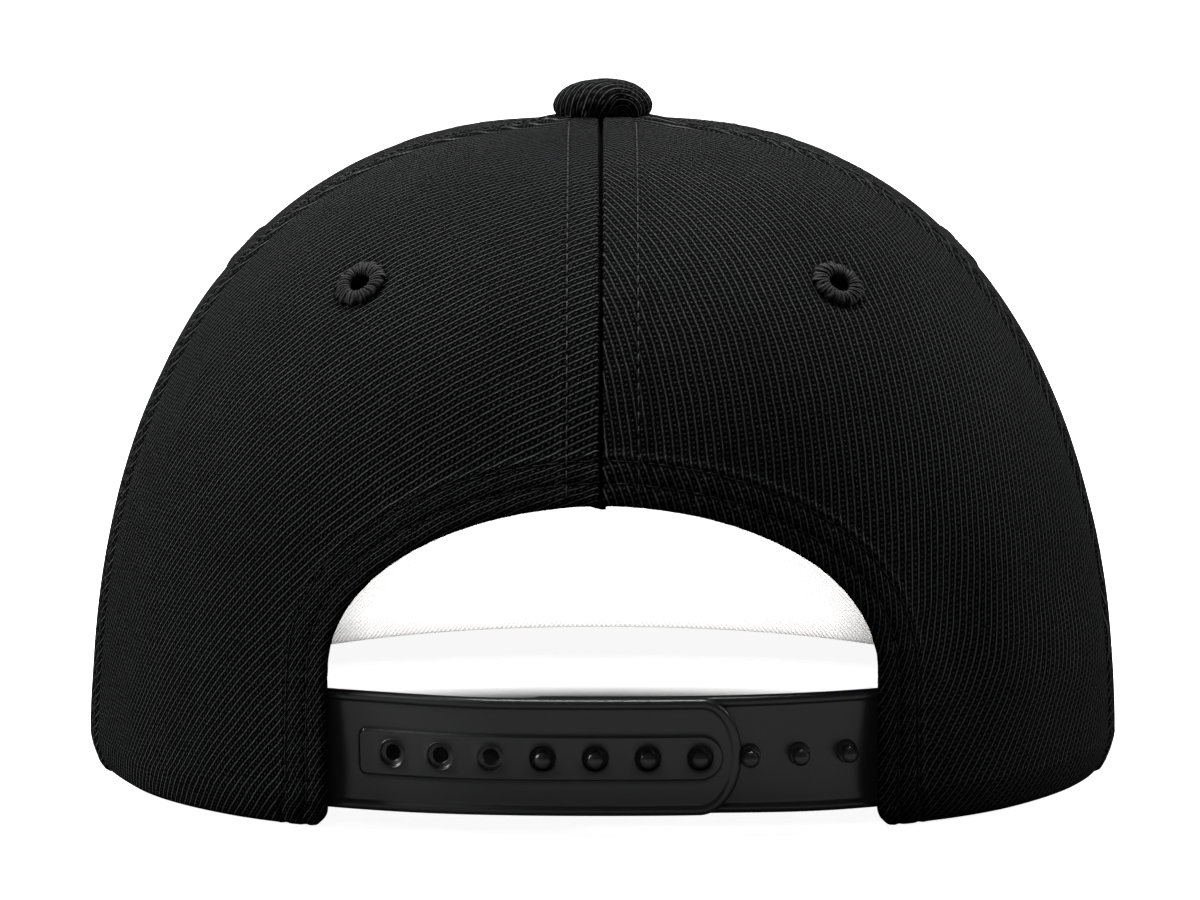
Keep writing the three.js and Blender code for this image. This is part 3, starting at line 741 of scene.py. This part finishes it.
def curveThrough(points, count):  # a smooth plane curve through the points, in steps of equal length
    ends = np.concatenate([[points[0]], points, [points[-1]]])
    t = np.linspace(0, 1, 40, endpoint=False)[:, None]
    lines = []
    for p0, p1, p2, p3 in zip(ends, ends[1:], ends[2:], ends[3:]):
        v0, v1 = (p2 - p0) / 2, (p3 - p1) / 2
        cubed, squared = 2 * p1 - 2 * p2 + v0 + v1, 3 * p2 - 3 * p1 - 2 * v0 - v1
        lines.append(cubed * t ** 3 + squared * t ** 2 + v0 * t + p1)
    line = np.concatenate([*lines, [points[-1]]])
    lengths = lengthAlong(line)
    where = np.linspace(0, lengths[-1], count)
    return np.stack([np.interp(where, lengths, line[:, k]) for k in range(2)], axis=-1)


def peakPlan(count):  # rim and root of the right half, from the middle of the front to the corner
    cornerTheta = radians(peak["cornerAngle"])
    corner = crownPlain(np.array([cornerTheta]), np.array([0.0]))[0]
    frontY = crown["frontLength"] + peak["reach"]
    outline = np.array(peakOutline) * [peak["halfWidth"], frontY - corner[1]] + [0, corner[1]]
    half = [tuple(spot) for spot in outline]
    half.append((corner[0] + peak["cornerWidth"] + peak["clearance"], corner[1]))
    rim = curveThrough(np.array(half), count)
    theta = np.linspace(pi, cornerTheta, count)
    root = crownPlain(theta, riseAt(np.full(count, peak["thickness"])))[:, :2]
    return rim, root + unit(root) * peak["clearance"]


def peakHeight(x):
    return crown["peakArch"] * np.maximum(0, 1 - (x / peak["halfWidth"]) ** 2)


def peakRows(spots, rimLine):  # distance of plan spots from the peak's outer edge
    nearest = np.full(len(spots), 1e3)
    for rimSpot in rimLine:
        nearest = np.minimum(nearest, np.hypot(spots[:, 0] - rimSpot[0], spots[:, 1] - rimSpot[1]))
    return nearest


def makePeak(look):
    half = peak["columns"] // 2
    rim, root = peakPlan(half + 1)
    mirror = np.array([-1, 1])
    rimLine = np.concatenate([rim[:0:-1] * mirror, rim])
    rootLine = np.concatenate([root[:0:-1] * mirror, root])
    shape = gridShape(peak["columns"], peak["rows"])
    secondLayer(shape)
    mesh = meshOf("peak_cloth", shape)
    u, v, layer = gridNumbers(mesh)
    share = spread(peak["rows"], 0, 3, 0.03)[v][:, None]
    spots = rootLine[u] * (1 - share) + rimLine[u] * share
    fineRim = curveThrough(rim, 400)
    away = peakRows(spots, np.concatenate([fineRim * mirror, fineRim]))
    ends = np.minimum(u, peak["columns"] - u) * 0.9
    edge = np.minimum(away, ends)
    rounding = np.sqrt(np.clip(1 - (1 - np.clip(edge / 1.7, 0, 1)) ** 2, 0, 1))
    quilt = sum(dip(away - peak["firstRow"] - k * peak["rowPitch"], 0.55) for k in range(peak["rowCount"]))
    pillow = 0.16 * np.cos((away - peak["firstRow"]) / peak["rowPitch"] * tau)
    lift = peak["thickness"] / 2 * rounding - peak["dip"] * quilt * rounding - pillow * ease(1.5, 4, edge)
    height = peakHeight(spots[:, 0]) + peak["thickness"] / 2 + np.where(layer == 1, lift, -lift)
    writePlaces(mesh, place(np.column_stack([spots, height])))
    slope = radians(45)
    across = (spots[:, 0] * cos(slope) + spots[:, 1] * sin(slope)) / 1.25
    along = (spots[:, 1] * cos(slope) - spots[:, 0] * sin(slope)) / floatLength
    writeCloth(mesh, across, along + across * 0.5)
    closeAndTurn(mesh, 2e-6)
    settle("peak_cloth", mesh, look, ["peak"])


def sewPeak(look):
    curve = threadCurve("peak_stitches", stitch["width"])
    rim, _ = peakPlan(300)
    line = np.concatenate([rim[:0:-1] * [-1, 1], rim])
    ahead = unit(np.gradient(line, axis=0))
    inward = np.column_stack([ahead[:, 1], -ahead[:, 0]])
    for k in range(peak["rowCount"]):
        spots = line + inward * (peak["firstRow"] + k * peak["rowPitch"])
        radius = np.hypot(*spots.T)
        theta = np.arctan2(spots[:, 0], -spots[:, 1])
        atRoot = crownPlain(theta, riseAt(np.full(len(theta), peak["thickness"])))
        keep = (radius > np.hypot(atRoot[:, 0], atRoot[:, 1]) + 2) & (spots[:, 1] > 20)
        keep &= peakRows(spots, line) > peak["firstRow"] + k * peak["rowPitch"] - 0.6
        spots = spots[keep]
        for sign, seed in ((1, k), (-1, k + 20)):
            height = peakHeight(spots[:, 0]) + peak["thickness"] / 2
            height = height + sign * (peak["thickness"] / 2 - peak["dip"] - 0.16)
            normals = np.tile([0.0, 0.0, float(sign)], (len(spots), 1))
            sewRow(curve, np.column_stack([spots, height]), normals, seed=seed)
    return finishThreads("peak_stitches", curve, look)


# Sweatband: an off-white cotton band inside the edge

band = {"height": 34, "foot": 0.4, "wall": 1.2, "edge": 0.4, "gap": 0.5, "columns": 260, "rows": 26}


def makeSweatband(look):
    start = strapAngle(archEdge + strap["sewn"]) + 0.6 / 88
    mesh = meshOf("sweatband_cloth", gridShape(band["columns"], band["rows"]))
    column, row, _ = gridNumbers(mesh)
    theta = start + (2 * pi - 2 * start) * column / band["columns"]
    wrapped = np.where(theta > pi, theta - 2 * pi, theta)
    share = spread(band["rows"], 2, 2, 0.06)[row]
    height = band["foot"] + (band["height"] - band["foot"]) * share
    rise = riseAt(height)
    inside = crown["wall"] + band["gap"] + dentDepth(wrapped, rise)
    inside = inside + 0.25 * dip(height - 3.2, 0.5) + 0.16 * (1 + ripple(theta * 22, 4)) * ease(6, 20, height)
    inside = inside - 0.5 * np.clip(1 - (height - band["foot"]) / 0.8, 0, 1) ** 2
    points = crownPlain(wrapped, rise) - crownNormal(wrapped, rise) * inside[:, None]
    writePlaces(mesh, place(points))
    writeCloth(mesh, theta * 88 / 0.8, height / 0.8)
    piece = settle("sweatband_cloth", mesh, look, ["sweatband"])
    thicken(piece, band["wall"], band["edge"])


# Straps: two moulded bands, one with holes and one with studs, that follow the crown's back

strap = {
    "width": 19.5, "thickness": 1.7, "foot": 3.2, "tilt": 8, "endTilt": 3, "proud": 0.8, "clearance": 0.3,
    "tipReach": 6.9, "sewn": 11, "diveStart": 0.35, "diveEnd": 0.9, "sewnGap": 0.5,
    "pitch": 8.5, "holes": 7, "studs": 7, "firstHole": -35.2, "studsInHoles": 4, "patch": 3.4,
    "padStart": 41.1, "padLead": 5.9, "padCorner": 1.1,
    "freeFrom": -20, "freeLean": (0.12, 0.08),  # the studs outside the holes lean a little
    "cutRings": 4, "firstFilled": 3, "filledDepth": 0.5,  # holes with a stud in them have a deeper rim
}
holeRings = [  # radius and height of the rings round a hole, whose first faces are cut away
    (0, 0), (0.5, 0), (0.95, 0), (1.25, 0), (1.34, -0.72), (1.44, -0.62), (1.98, -0.56), (2.09, -0.46),
    (2.14, 0.02), (2.32, 0.13), (2.54, 0.0),
]
studRings = [  # radius and height of the rings of a stud, from its crown down to the band
    (0, 2.9), (0.55, 2.84), (1.0, 2.64), (1.32, 2.3), (1.46, 1.9), (1.4, 1.6), (1.12, 1.5), (1.08, 0.42),
    (1.62, 0.36), (1.82, 0.16), (1.92, -0.32),
]
padRows = [  # distance from the middle and height of the lines beyond the rings, out to the edge
    (3.46, 0.0), (3.6, -0.08), (3.72, -0.26), (3.84, -0.34), (4.6, -0.35), (5.5, -0.35), (6.4, -0.35),
    (7.3, -0.35), (7.95, -0.35), (8.12, -0.33), (8.28, -0.18), (8.45, 0.02), (8.68, 0.14), (8.98, 0.17),
    (9.28, 0.1), (9.54, -0.08), (9.75, -0.4),
]
field = -0.35  # the floor between the pad and the rims
strapTop = strap["foot"] + strap["width"] * cos(radians(strap["tilt"]))
outlineTheta = np.radians(np.linspace(-72, 72, 1441))
outlinePoints = crownPlain(outlineTheta, np.full(1441, riseAt(strapTop)))
outlineLengths = lengthAlong(outlinePoints)
outlineLengths = outlineLengths - outlineLengths[720]
archEdge = float(np.interp(arch["halfWidth"], outlinePoints[:, 0], outlineLengths))
lastHole = strap["firstHole"] + (strap["holes"] - 1) * strap["pitch"]
firstStud = lastHole - (strap["studsInHoles"] - 1) * strap["pitch"]


def strapAngle(where):
    return float(np.interp(where, outlineLengths, outlineTheta))


def onStrap(where, reach, lift, middleDepth):  # along the back, down from the top edge, out of the face
    theta = np.interp(where, outlineLengths, outlineTheta)
    edge = crownPlain(theta, np.full_like(theta, riseAt(strapTop)))
    ahead = crownPlain(theta + 1e-3, np.full_like(theta, riseAt(strapTop))) - edge
    outward = unit(np.stack([ahead[:, 1], -ahead[:, 0], np.zeros_like(theta)], axis=-1))
    sewn = ease(archEdge * strap["diveStart"], archEdge * strap["diveEnd"], np.abs(where))
    heights = (strap["foot"], (strap["foot"] + strapTop) / 2, strapTop)
    room = np.maximum(0, np.max([dentDepth(theta, riseAt(np.full_like(theta, h))) for h in heights], axis=0))
    depth = middleDepth + (crown["wall"] + strap["sewnGap"] + room - middleDepth) * sewn
    tilt = np.radians(strap["tilt"] + (strap["endTilt"] - strap["tilt"]) * sewn)[:, None]
    upward = np.array([0, 0, 1.0])
    edge[:, 2] = strapTop
    down = -np.sin(tilt) * outward - np.cos(tilt) * upward
    face = np.cos(tilt) * outward - np.sin(tilt) * upward
    return edge - outward * depth[:, None] + down * reach[:, None] + face * lift[:, None]


def strapColumns(patches, sewnEnd):  # places from the sewn end: what each column belongs to
    n = len(holeRings)
    step = strap["patch"] / n
    lead = list(np.arange(sewnEnd, patches[0] - strap["patch"] - 4.5, 1.0))
    shifts = (-0.9, -0.4, -0.15, 0, 0.12, 0.25, 0.5, 1.0, 1.6)
    nearPad = [patches[0] - strap["padLead"] + shift for shift in shifts]
    columns = [(where, -1, 0) for where in lead + nearPad]
    for number, middle in enumerate(patches):
        last = number == len(patches) - 1
        columns += [(middle + i * step, number, i) for i in range(-n, 1 if last else n + 1)]
        if last:
            columns += [(middle, number, i) for i in range(1, n + len(padRows) + 1)]
        else:
            columns += [(middle + strap["patch"] + k * 0.425, -1, 0) for k in (1, 2, 3)]
    return columns


def strapGrid(columns, halfRows, cutHoles):  # two layers of grid, with the faces inside the holes gone
    def inHole(face):
        middle = face.calc_center_median()
        _, owner, ring = columns[int(middle.x)]
        _, nextOwner, nextRing = columns[int(middle.x) + 1]
        away = max(abs((ring + nextRing) / 2), abs(middle.y - halfRows))
        return owner >= 0 and owner == nextOwner and away < strap["cutRings"]

    shape = gridShape(len(columns) - 1, 2 * halfRows)
    if cutHoles:
        bmesh.ops.delete(shape, geom=[face for face in shape.faces if inHole(face)], context="FACES")
    secondLayer(shape)
    return shape


def makeStrap(name, look, patches, direction, rings, middleDepth, hasPad):
    n = len(rings)
    columns = strapColumns(patches, -(archEdge + strap["sewn"]))
    halfRows = n + len(padRows)
    mesh = meshOf(name, strapGrid(columns, halfRows, hasPad))
    c, r, layer = gridNumbers(mesh)  # column, row from the middle, and which face of the band
    r, isFront = r - halfRows, layer == 1
    where, number, i = np.array(columns)[c].T
    number, i = number.astype(int), i.astype(int)
    rowReach = np.array([k * strap["patch"] / n for k in range(n + 1)] + [row[0] for row in padRows])
    lifts = np.array([ring[1] for ring in rings] + [0 if hasPad else field] + [row[1] for row in padRows])
    if not hasPad:  # the stud strap has a plain floor where the other has its pad
        lifts[n:n + 9] = np.minimum(lifts[n:n + 9], field)
    y = np.sign(r) * rowReach[np.abs(r)]
    x = where
    m, k = np.maximum(np.abs(i), np.abs(r)), np.minimum(np.abs(i), np.abs(r))
    atTip = (number == len(patches) - 1) & (i > 0)
    inPatch = (number >= 0) & (m < n) & ~atTip
    turn = pi / 4 * k / np.maximum(m, 1)
    turn = np.where(np.abs(i) >= np.abs(r), turn, pi / 2 - turn)
    ringRadius = np.array([ring[0] for ring in rings] + [strap["patch"]] + [0] * len(padRows))[m]
    middles = np.array(patches)[np.maximum(number, 0)]
    x = np.where(inPatch, middles + np.sign(i) * ringRadius * np.cos(turn), x)
    y = np.where(inPatch, np.sign(r) * ringRadius * np.sin(turn), y)
    tipY = np.where(m <= n, ringRadius, rowReach[np.minimum(m, halfRows)])
    tipX = np.interp(tipY, [0, 3.8, 8.1, 9.75], [0, 3.8, 5.0, strap["tipReach"]])
    x = np.where(atTip, middles + tipX * np.cos(turn), x)
    y = np.where(atTip, np.sign(r) * tipY * np.sin(turn), y)
    ringed = inPatch | atTip
    lift = np.where(ringed, lifts[m], lifts[np.maximum(np.abs(r), n)])
    if hasPad:
        cornerX = np.maximum(0, -strap["padStart"] + strap["padCorner"] - x)
        cornerY = np.maximum(0, np.abs(y) - 3.65 + strap["padCorner"])
        outside = np.hypot(cornerX, cornerY) - strap["padCorner"]
        low = ease(-0.1, 0.26, outside) * (x < -30) * (np.abs(y) < 4.2)
        lift = np.where(low > 0, np.minimum(lift, field * low), lift)
        rim = ringed & (number >= strap["firstFilled"]) & (m >= 4) & (m <= 7)
        lift = np.where(rim, lift - strap["filledDepth"], lift)
    back = -strap["thickness"] + 0.16 * ease(9.3, 9.75, np.abs(y))
    lift = np.where(isFront, lift, back)
    free = isFront & (lift > 0.3) & (where < strap["freeFrom"]) & (not hasPad)
    x = x + strap["freeLean"][0] * lift * free
    y = y + strap["freeLean"][1] * lift * free
    writePlaces(mesh, place(onStrap(direction * x, strap["width"] / 2 + y, lift, middleDepth)))
    closeAndTurn(mesh)
    settle(name + "_plastic", mesh, look, [name], sharp=38)


# Shader helpers

class Wire:  # a socket that can be summed and scaled like a number
    def __init__(self, look, socket):
        self.look, self.socket = look, socket

    def join(self, operation, other, swap=False):
        first, second = (other, self) if swap else (self, other)
        return self.look.node("ShaderNodeMath", {"operation": operation}, {0: first, 1: second})

    def __add__(self, other):
        return self.join("ADD", other)

    def __sub__(self, other):
        return self.join("SUBTRACT", other)

    def __rsub__(self, other):
        return self.join("SUBTRACT", other, True)

    def __mul__(self, other):
        return self.join("MULTIPLY", other)

    def __pow__(self, other):
        return self.join("POWER", other)

    __radd__ = __add__
    __rmul__ = __mul__

    def sine(self):
        return self.look.node("ShaderNodeMath", {"operation": "SINE"}, {0: self})

    def whole(self):
        return self.look.node("ShaderNodeMath", {"operation": "FLOOR"}, {0: self})

    def clamped(self):
        return self.look.node("ShaderNodeMath", {"operation": "ADD", "use_clamp": True}, {0: self, 1: 0.0})


class Look:  # a material and its nodes
    def __init__(self, name):
        self.material = bpy.data.materials.new(name)
        self.material.use_nodes = True
        self.tree = self.material.node_tree
        self.shader = self.tree.nodes["Principled BSDF"]

    def node(self, kind, settings, sockets, output=0):
        made = self.tree.nodes.new(kind)
        for key, value in settings.items():
            if key == "stops":
                for element, (position, colour) in zip(made.color_ramp.elements, value):
                    element.position, element.color = position, colour
            else:
                setattr(made, key, value)
        for key, value in sockets.items():
            self.feed(made.inputs[key], value)
        return Wire(self, made.outputs[output])

    def feed(self, socket, value):
        if isinstance(value, Wire):
            self.tree.links.new(value.socket, socket)
        else:
            socket.default_value = value

    def noise(self, vector, scale, detail=2.0, roughness=0.5):
        sockets = {"Vector": vector, "Scale": scale, "Detail": detail, "Roughness": roughness}
        return self.node("ShaderNodeTexNoise", {}, sockets)

    def spot(self):  # where on the piece this is
        return self.node("ShaderNodeTexCoord", {}, {}, output=3)

    def cloth(self):  # the cloth's own coordinates, across and along its ribs
        return self.axes(self.node("ShaderNodeUVMap", {"uv_map": "cloth"}, {}))[:2]

    def mix(self, factor, first, second):
        return self.node("ShaderNodeMix", {"data_type": "RGBA"}, {0: factor, 6: first, 7: second}, output=2)

    def axes(self, vector):
        parts = self.node("ShaderNodeSeparateXYZ", {}, {0: vector})
        return [Wire(self, parts.socket.node.outputs[k]) for k in range(3)]

    def finish(self, colour, roughness, height, depth, **uniform):
        bump = self.node("ShaderNodeBump", {}, {"Strength": 1.0, "Distance": depth, "Height": height})
        self.feed(self.shader.inputs["Base Color"], colour)
        self.feed(self.shader.inputs["Roughness"], roughness)
        self.feed(self.shader.inputs["Normal"], bump)
        for name, value in uniform.items():
            self.shader.inputs[name.replace("_", " ")].default_value = value
        return self.material


def grey(value, warm=0.0):
    return (value * (1 + warm), value, value * (1 - warm), 1)


# Black cotton twill: raised ribs with a row of floats between them, on the cloth's own coordinates. Crests
# and floats are painted lighter and grooves darker: painted highlight and painted shade on a black cloth

twill = {
    # gap and crest: colours of the grooves and of the ribs' crests, a painted shade and a painted highlight
    "gap": 0.0002, "crest": 0.125, "depth": 0.0006, "ridge": 9.0, "between": 6.0,
    "slant": 0.05,  # each float of a rib lies a little askew
    "beads": 0.6,  # painted highlight on the small floats between the ribs
}


def twillLook():
    look = Look("black_twill")
    across, along = look.cloth()
    spot = look.spot()
    # painted shade in seams and stitch rows, written with the mesh
    painted_shade = look.node("ShaderNodeAttribute", {"attribute_name": "painted_shade"}, {}, output=2)
    wobble = look.noise(spot, 160.0, 2.0)
    fibre = look.noise(spot, 2600.0, 2.0, 0.6)
    patches = look.noise(spot, 34.0, 3.0, 0.6)
    count = across + (wobble - 0.5) * 0.5
    floats = along + (wobble - 0.5) * 0.8
    within = look.node("ShaderNodeMath", {"operation": "FRACT"}, {0: floats + 0.25})
    wave = ((count + (within - 0.5) * twill["slant"]) * tau).sine() * 0.5 + 0.5
    pulse = (floats * tau).sine() * 0.5 + 0.5
    ridge = wave ** twill["ridge"] * (0.82 + pulse * 0.18)
    cell = look.node("ShaderNodeCombineXYZ", {}, {0: (count + 0.25).whole(), 1: floats.whole()})
    single = look.node("ShaderNodeTexWhiteNoise", {"noise_dimensions": "2D"}, {"Vector": cell})
    beads = (1 - wave) ** twill["between"] * pulse ** 2.2 * (0.35 + single * 0.65)
    height = ridge * 0.8 + beads * 0.6 + (fibre - 0.5) * 0.25
    # painted highlight on crests and floats, painted shade in grooves, and painted shade in seams and stitch
    # rows
    light = (ridge + beads * twill["beads"]) * ((fibre - 0.5) * 3.4 + 0.9).clamped() * (1 - painted_shade)
    body = look.mix(light.clamped(), grey(twill["gap"]), grey(twill["crest"], -0.02))
    colour = look.mix(((patches - 0.32) * 1.7).clamped(), look.mix(0.3, body, grey(twill["gap"])), body)
    roughness = 0.86 + (fibre - 0.5) * 0.2
    return look.finish(colour, roughness, height, twill["depth"], Specular_IOR_Level=0.02)


def threadLook():
    look = Look("black_thread")
    spot = look.spot()
    strands = look.noise(spot, 5200.0, 3.0, 0.65)
    tone = look.noise(spot, 420.0, 2.0)
    colour = look.mix((tone * 1.1 - 0.1).clamped(), grey(0.005), grey(0.017))
    sheen = {"Sheen_Weight": 0.015, "Sheen_Roughness": 0.4}
    roughness = 0.62 + (strands - 0.5) * 0.25
    return look.finish(colour, roughness, strands, 0.00012, Specular_IOR_Level=0.2, **sheen)


def satinLook():  # painted highlight on each thread's crest, painted shade between threads and in the hole's barrel and underside; each thread a little different
    look = Look("satin_stitch")
    across, along = look.cloth()
    strands = look.noise(look.spot(), 4200.0, 3.0, 0.65)
    crest = (across * pi).sine() ** 4
    single = look.node("ShaderNodeTexWhiteNoise", {"noise_dimensions": "1D"}, {"W": across.whole()})
    # only the ring's top gets the painted highlight; the hole's barrel and the underside stay dark, a painted
    # shade
    outside = ((along - 3.0) * 0.6).clamped() * ((13.0 - along) * 0.6).clamped()
    paintedShine = (crest * outside * (0.3 + single * 0.7) * (0.4 + strands * 1.2)).clamped()
    colour = look.mix(paintedShine, grey(0.0006), grey(0.045))
    return look.finish(colour, 0.65 + (strands - 0.5) * 0.3, strands, 0.0001, Specular_IOR_Level=0.08)


def plasticLook():
    look = Look("moulded_plastic")
    spot = look.spot()
    grain = look.noise(spot, 2400.0, 2.0, 0.6)
    flow = look.noise(spot, 60.0, 4.0, 0.6)
    stretched = look.node("ShaderNodeMapping", {}, {"Vector": spot, "Scale": (900, 900, 120)})
    scuff = look.noise(stretched, 1.0, 3.0, 0.7)
    marks = ((scuff - 0.66) * 6).clamped()
    colour = look.mix(flow, grey(0.018, -0.03), grey(0.024, -0.03))
    colour = look.mix(marks * 0.35, colour, grey(0.06))
    roughness = 0.27 + flow * 0.08 + marks * 0.2
    height = grain * 0.5 + flow * 0.6 + marks * 0.3
    return look.finish(colour, roughness, height, 0.00004, Specular_IOR_Level=0.9)


def bandLook():
    look = Look("cotton_band")
    across, along = look.cloth()
    spot = look.spot()
    warp = (across * tau).sine() * 0.5 + 0.5
    weft = (along * tau).sine() * 0.5 + 0.5
    tone = look.noise(spot, 45.0, 3.0, 0.6)
    fibre = look.noise(spot, 1800.0, 2.0, 0.6)
    weave = warp * (1 - weft) + weft * (1 - warp)
    colour = look.mix(tone, grey(0.88, 0.01), grey(0.93, 0.01))
    colour = look.mix(weave * 0.2, colour, grey(0.75, 0.03))
    return look.finish(colour, 0.9 + (fibre - 0.5) * 0.1, weave + fibre * 0.6, 0.00018, Sheen_Weight=0.15)


# Making the cap

twillMaterial = twillLook()
threadMaterial = threadLook()
eyeletMaterial = satinLook()
plasticMaterial = plasticLook()
bandMaterial = bandLook()

for panelName in panels:
    makePanel(panelName, twillMaterial)
    makeEyelet(panelName, eyeletMaterial)
    print("panel and eyelet made:", panelName)
sewCrown(threadMaterial)
print("crown sewn")
makeButton(twillMaterial)
makePeak(twillMaterial)
sewPeak(threadMaterial)
print("button and peak made")
makeSweatband(bandMaterial)
holePlaces = [strap["firstHole"] + k * strap["pitch"] for k in range(strap["holes"])]
studPlaces = [-(firstStud + k * strap["pitch"]) for k in reversed(range(strap["studs"]))]
studDepth = -strap["proud"] + strap["thickness"] + strap["clearance"]
makeStrap("hole_strap", plasticMaterial, holePlaces, 1, holeRings, -strap["proud"], True)
makeStrap("stud_strap", plasticMaterial, studPlaces, -1, studRings, studDepth, False)
print("band and straps made")


# Floor, light and camera

# under: the floor's colour inside the painted shadow deep under the crown
light = {"backdrop": 1.0, "world": 0.035, "floor": 0.93, "bounce": 0.12, "under": 0.1}
lamps = {  # place, size and power
    "left": ((-1.3, 0.0, 0.8), 0.5, 24),
    "top": ((0.05, 0.42, 1.45), 0.8, 47),
    "right": ((1.3, 0.5, 0.6), 0.5, 13),
    "front": ((-0.2, -1.5, 0.9), 0.6, 2.4),  # gives no gloss
    "inner": ((0.0, -1.3, 0.16), 0.1, 30),  # lights the sweatband alone
}
shade = {"middle": (0.0, -0.035), "reach": (0.072, 0.049), "soft": 0.3}  # a painted shadow on the floor deep under the crown: no glow there and a dark colour


def floorLook():
    look = Look("studio_floor")
    spot = look.spot()
    tone = look.noise(spot, 2.0, 2.0)
    inverse = [1 / reach for reach in shade["reach"]]
    shift = [-middle * scale for middle, scale in zip(shade["middle"], inverse)]
    turned = {"Vector": spot, "Location": (*shift, 0), "Scale": (*inverse, 0)}
    away = look.node("ShaderNodeMapping", {}, turned)
    away = look.node("ShaderNodeVectorMath", {"operation": "LENGTH"}, {0: away}, output=1)
    outsidePaintedShadow = ((away - 1) * (1 / shade["soft"])).clamped()
    seen = look.node("ShaderNodeLightPath", {}, {})  # the floor looks white, and lights the cap less
    glow = look.mix(seen, grey(0.0), grey(light["floor"]))
    # no glow inside the painted shadow under the crown
    look.feed(look.shader.inputs["Emission Color"], look.mix(outsidePaintedShadow, grey(0.0), glow))
    # painted shadow: the floor's colour is dark grey deep under the crown
    paleWithPaintedShadow = look.mix(outsidePaintedShadow, grey(light["under"]), look.mix(tone, grey(0.9), grey(0.93)))
    colour = look.mix(seen, grey(light["bounce"]), paleWithPaintedShadow)
    return look.finish(colour, 0.9, tone, 0.0002, Specular_IOR_Level=0.0, Emission_Strength=1.0)


floorShape = bmesh.new()
bmesh.ops.create_grid(floorShape, x_segments=8, y_segments=8, size=4)
bmesh.ops.translate(floorShape, verts=floorShape.verts, vec=(0, 0, -0.0002))
floor = bpy.data.objects.new("studio_floor", meshOf("studio_floor", floorShape))
scene.collection.objects.link(floor)
floor.data.materials.append(floorLook())

world = bpy.data.worlds.new("studio")
world.use_nodes = True
backdrop = world.node_tree.nodes["Background"]
backdrop.inputs[0].default_value = (1, 1, 1, 1)
ray = world.node_tree.nodes.new("ShaderNodeLightPath")
level = world.node_tree.nodes.new("ShaderNodeMapRange")  # the backdrop looks white, and lights the cap less
level.inputs["To Min"].default_value = light["world"]
level.inputs["To Max"].default_value = light["backdrop"]
world.node_tree.links.new(ray.outputs["Is Camera Ray"], level.inputs["Value"])
world.node_tree.links.new(level.outputs["Result"], backdrop.inputs[1])
scene.world = world
aim = Vector((crownAxis.x, crownAxis.y, 0.05))
for name, (spot, size, power) in lamps.items():
    lamp = bpy.data.lights.new(name, "AREA")
    lamp.shape = "SQUARE"
    lamp.size = size
    lamp.energy = power
    holder = bpy.data.objects.new(name, lamp)
    scene.collection.objects.link(holder)
    at = Vector(spot)
    holder.matrix_world = Matrix.Translation(at) @ (aim - at).to_track_quat("-Z", "Y").to_matrix().to_4x4()
    holder.visible_glossy = name != "front"
    if name == "inner":
        insides = bpy.data.collections.new("insides")
        insides.objects.link(bpy.data.objects["sweatband_cloth"])
        holder.light_linking.receiver_collection = insides

camera = {
    "target": (-0.000434, crownAxis.y, 0.0513), "distance": 1.2, "elevation": 7,
    "focal": 6914.4, "width": 1200,  # both in pixels
}
lens = bpy.data.cameras.new("camera")
lens.sensor_fit = "HORIZONTAL"
lens.sensor_width = 36
lens.lens = 36 * camera["focal"] / camera["width"]
lens.clip_start = 0.05
eye = bpy.data.objects.new("camera", lens)
scene.collection.objects.link(eye)
tilt = radians(camera["elevation"])
target = Vector(camera["target"])
spot = target + camera["distance"] * Vector((0, -cos(tilt), sin(tilt)))
eye.matrix_world = Matrix.Translation(spot) @ (target - spot).to_track_quat("-Z", "Y").to_matrix().to_4x4()
scene.camera = eye
scene.view_settings.view_transform = "Standard"

print("floor, light and camera set")
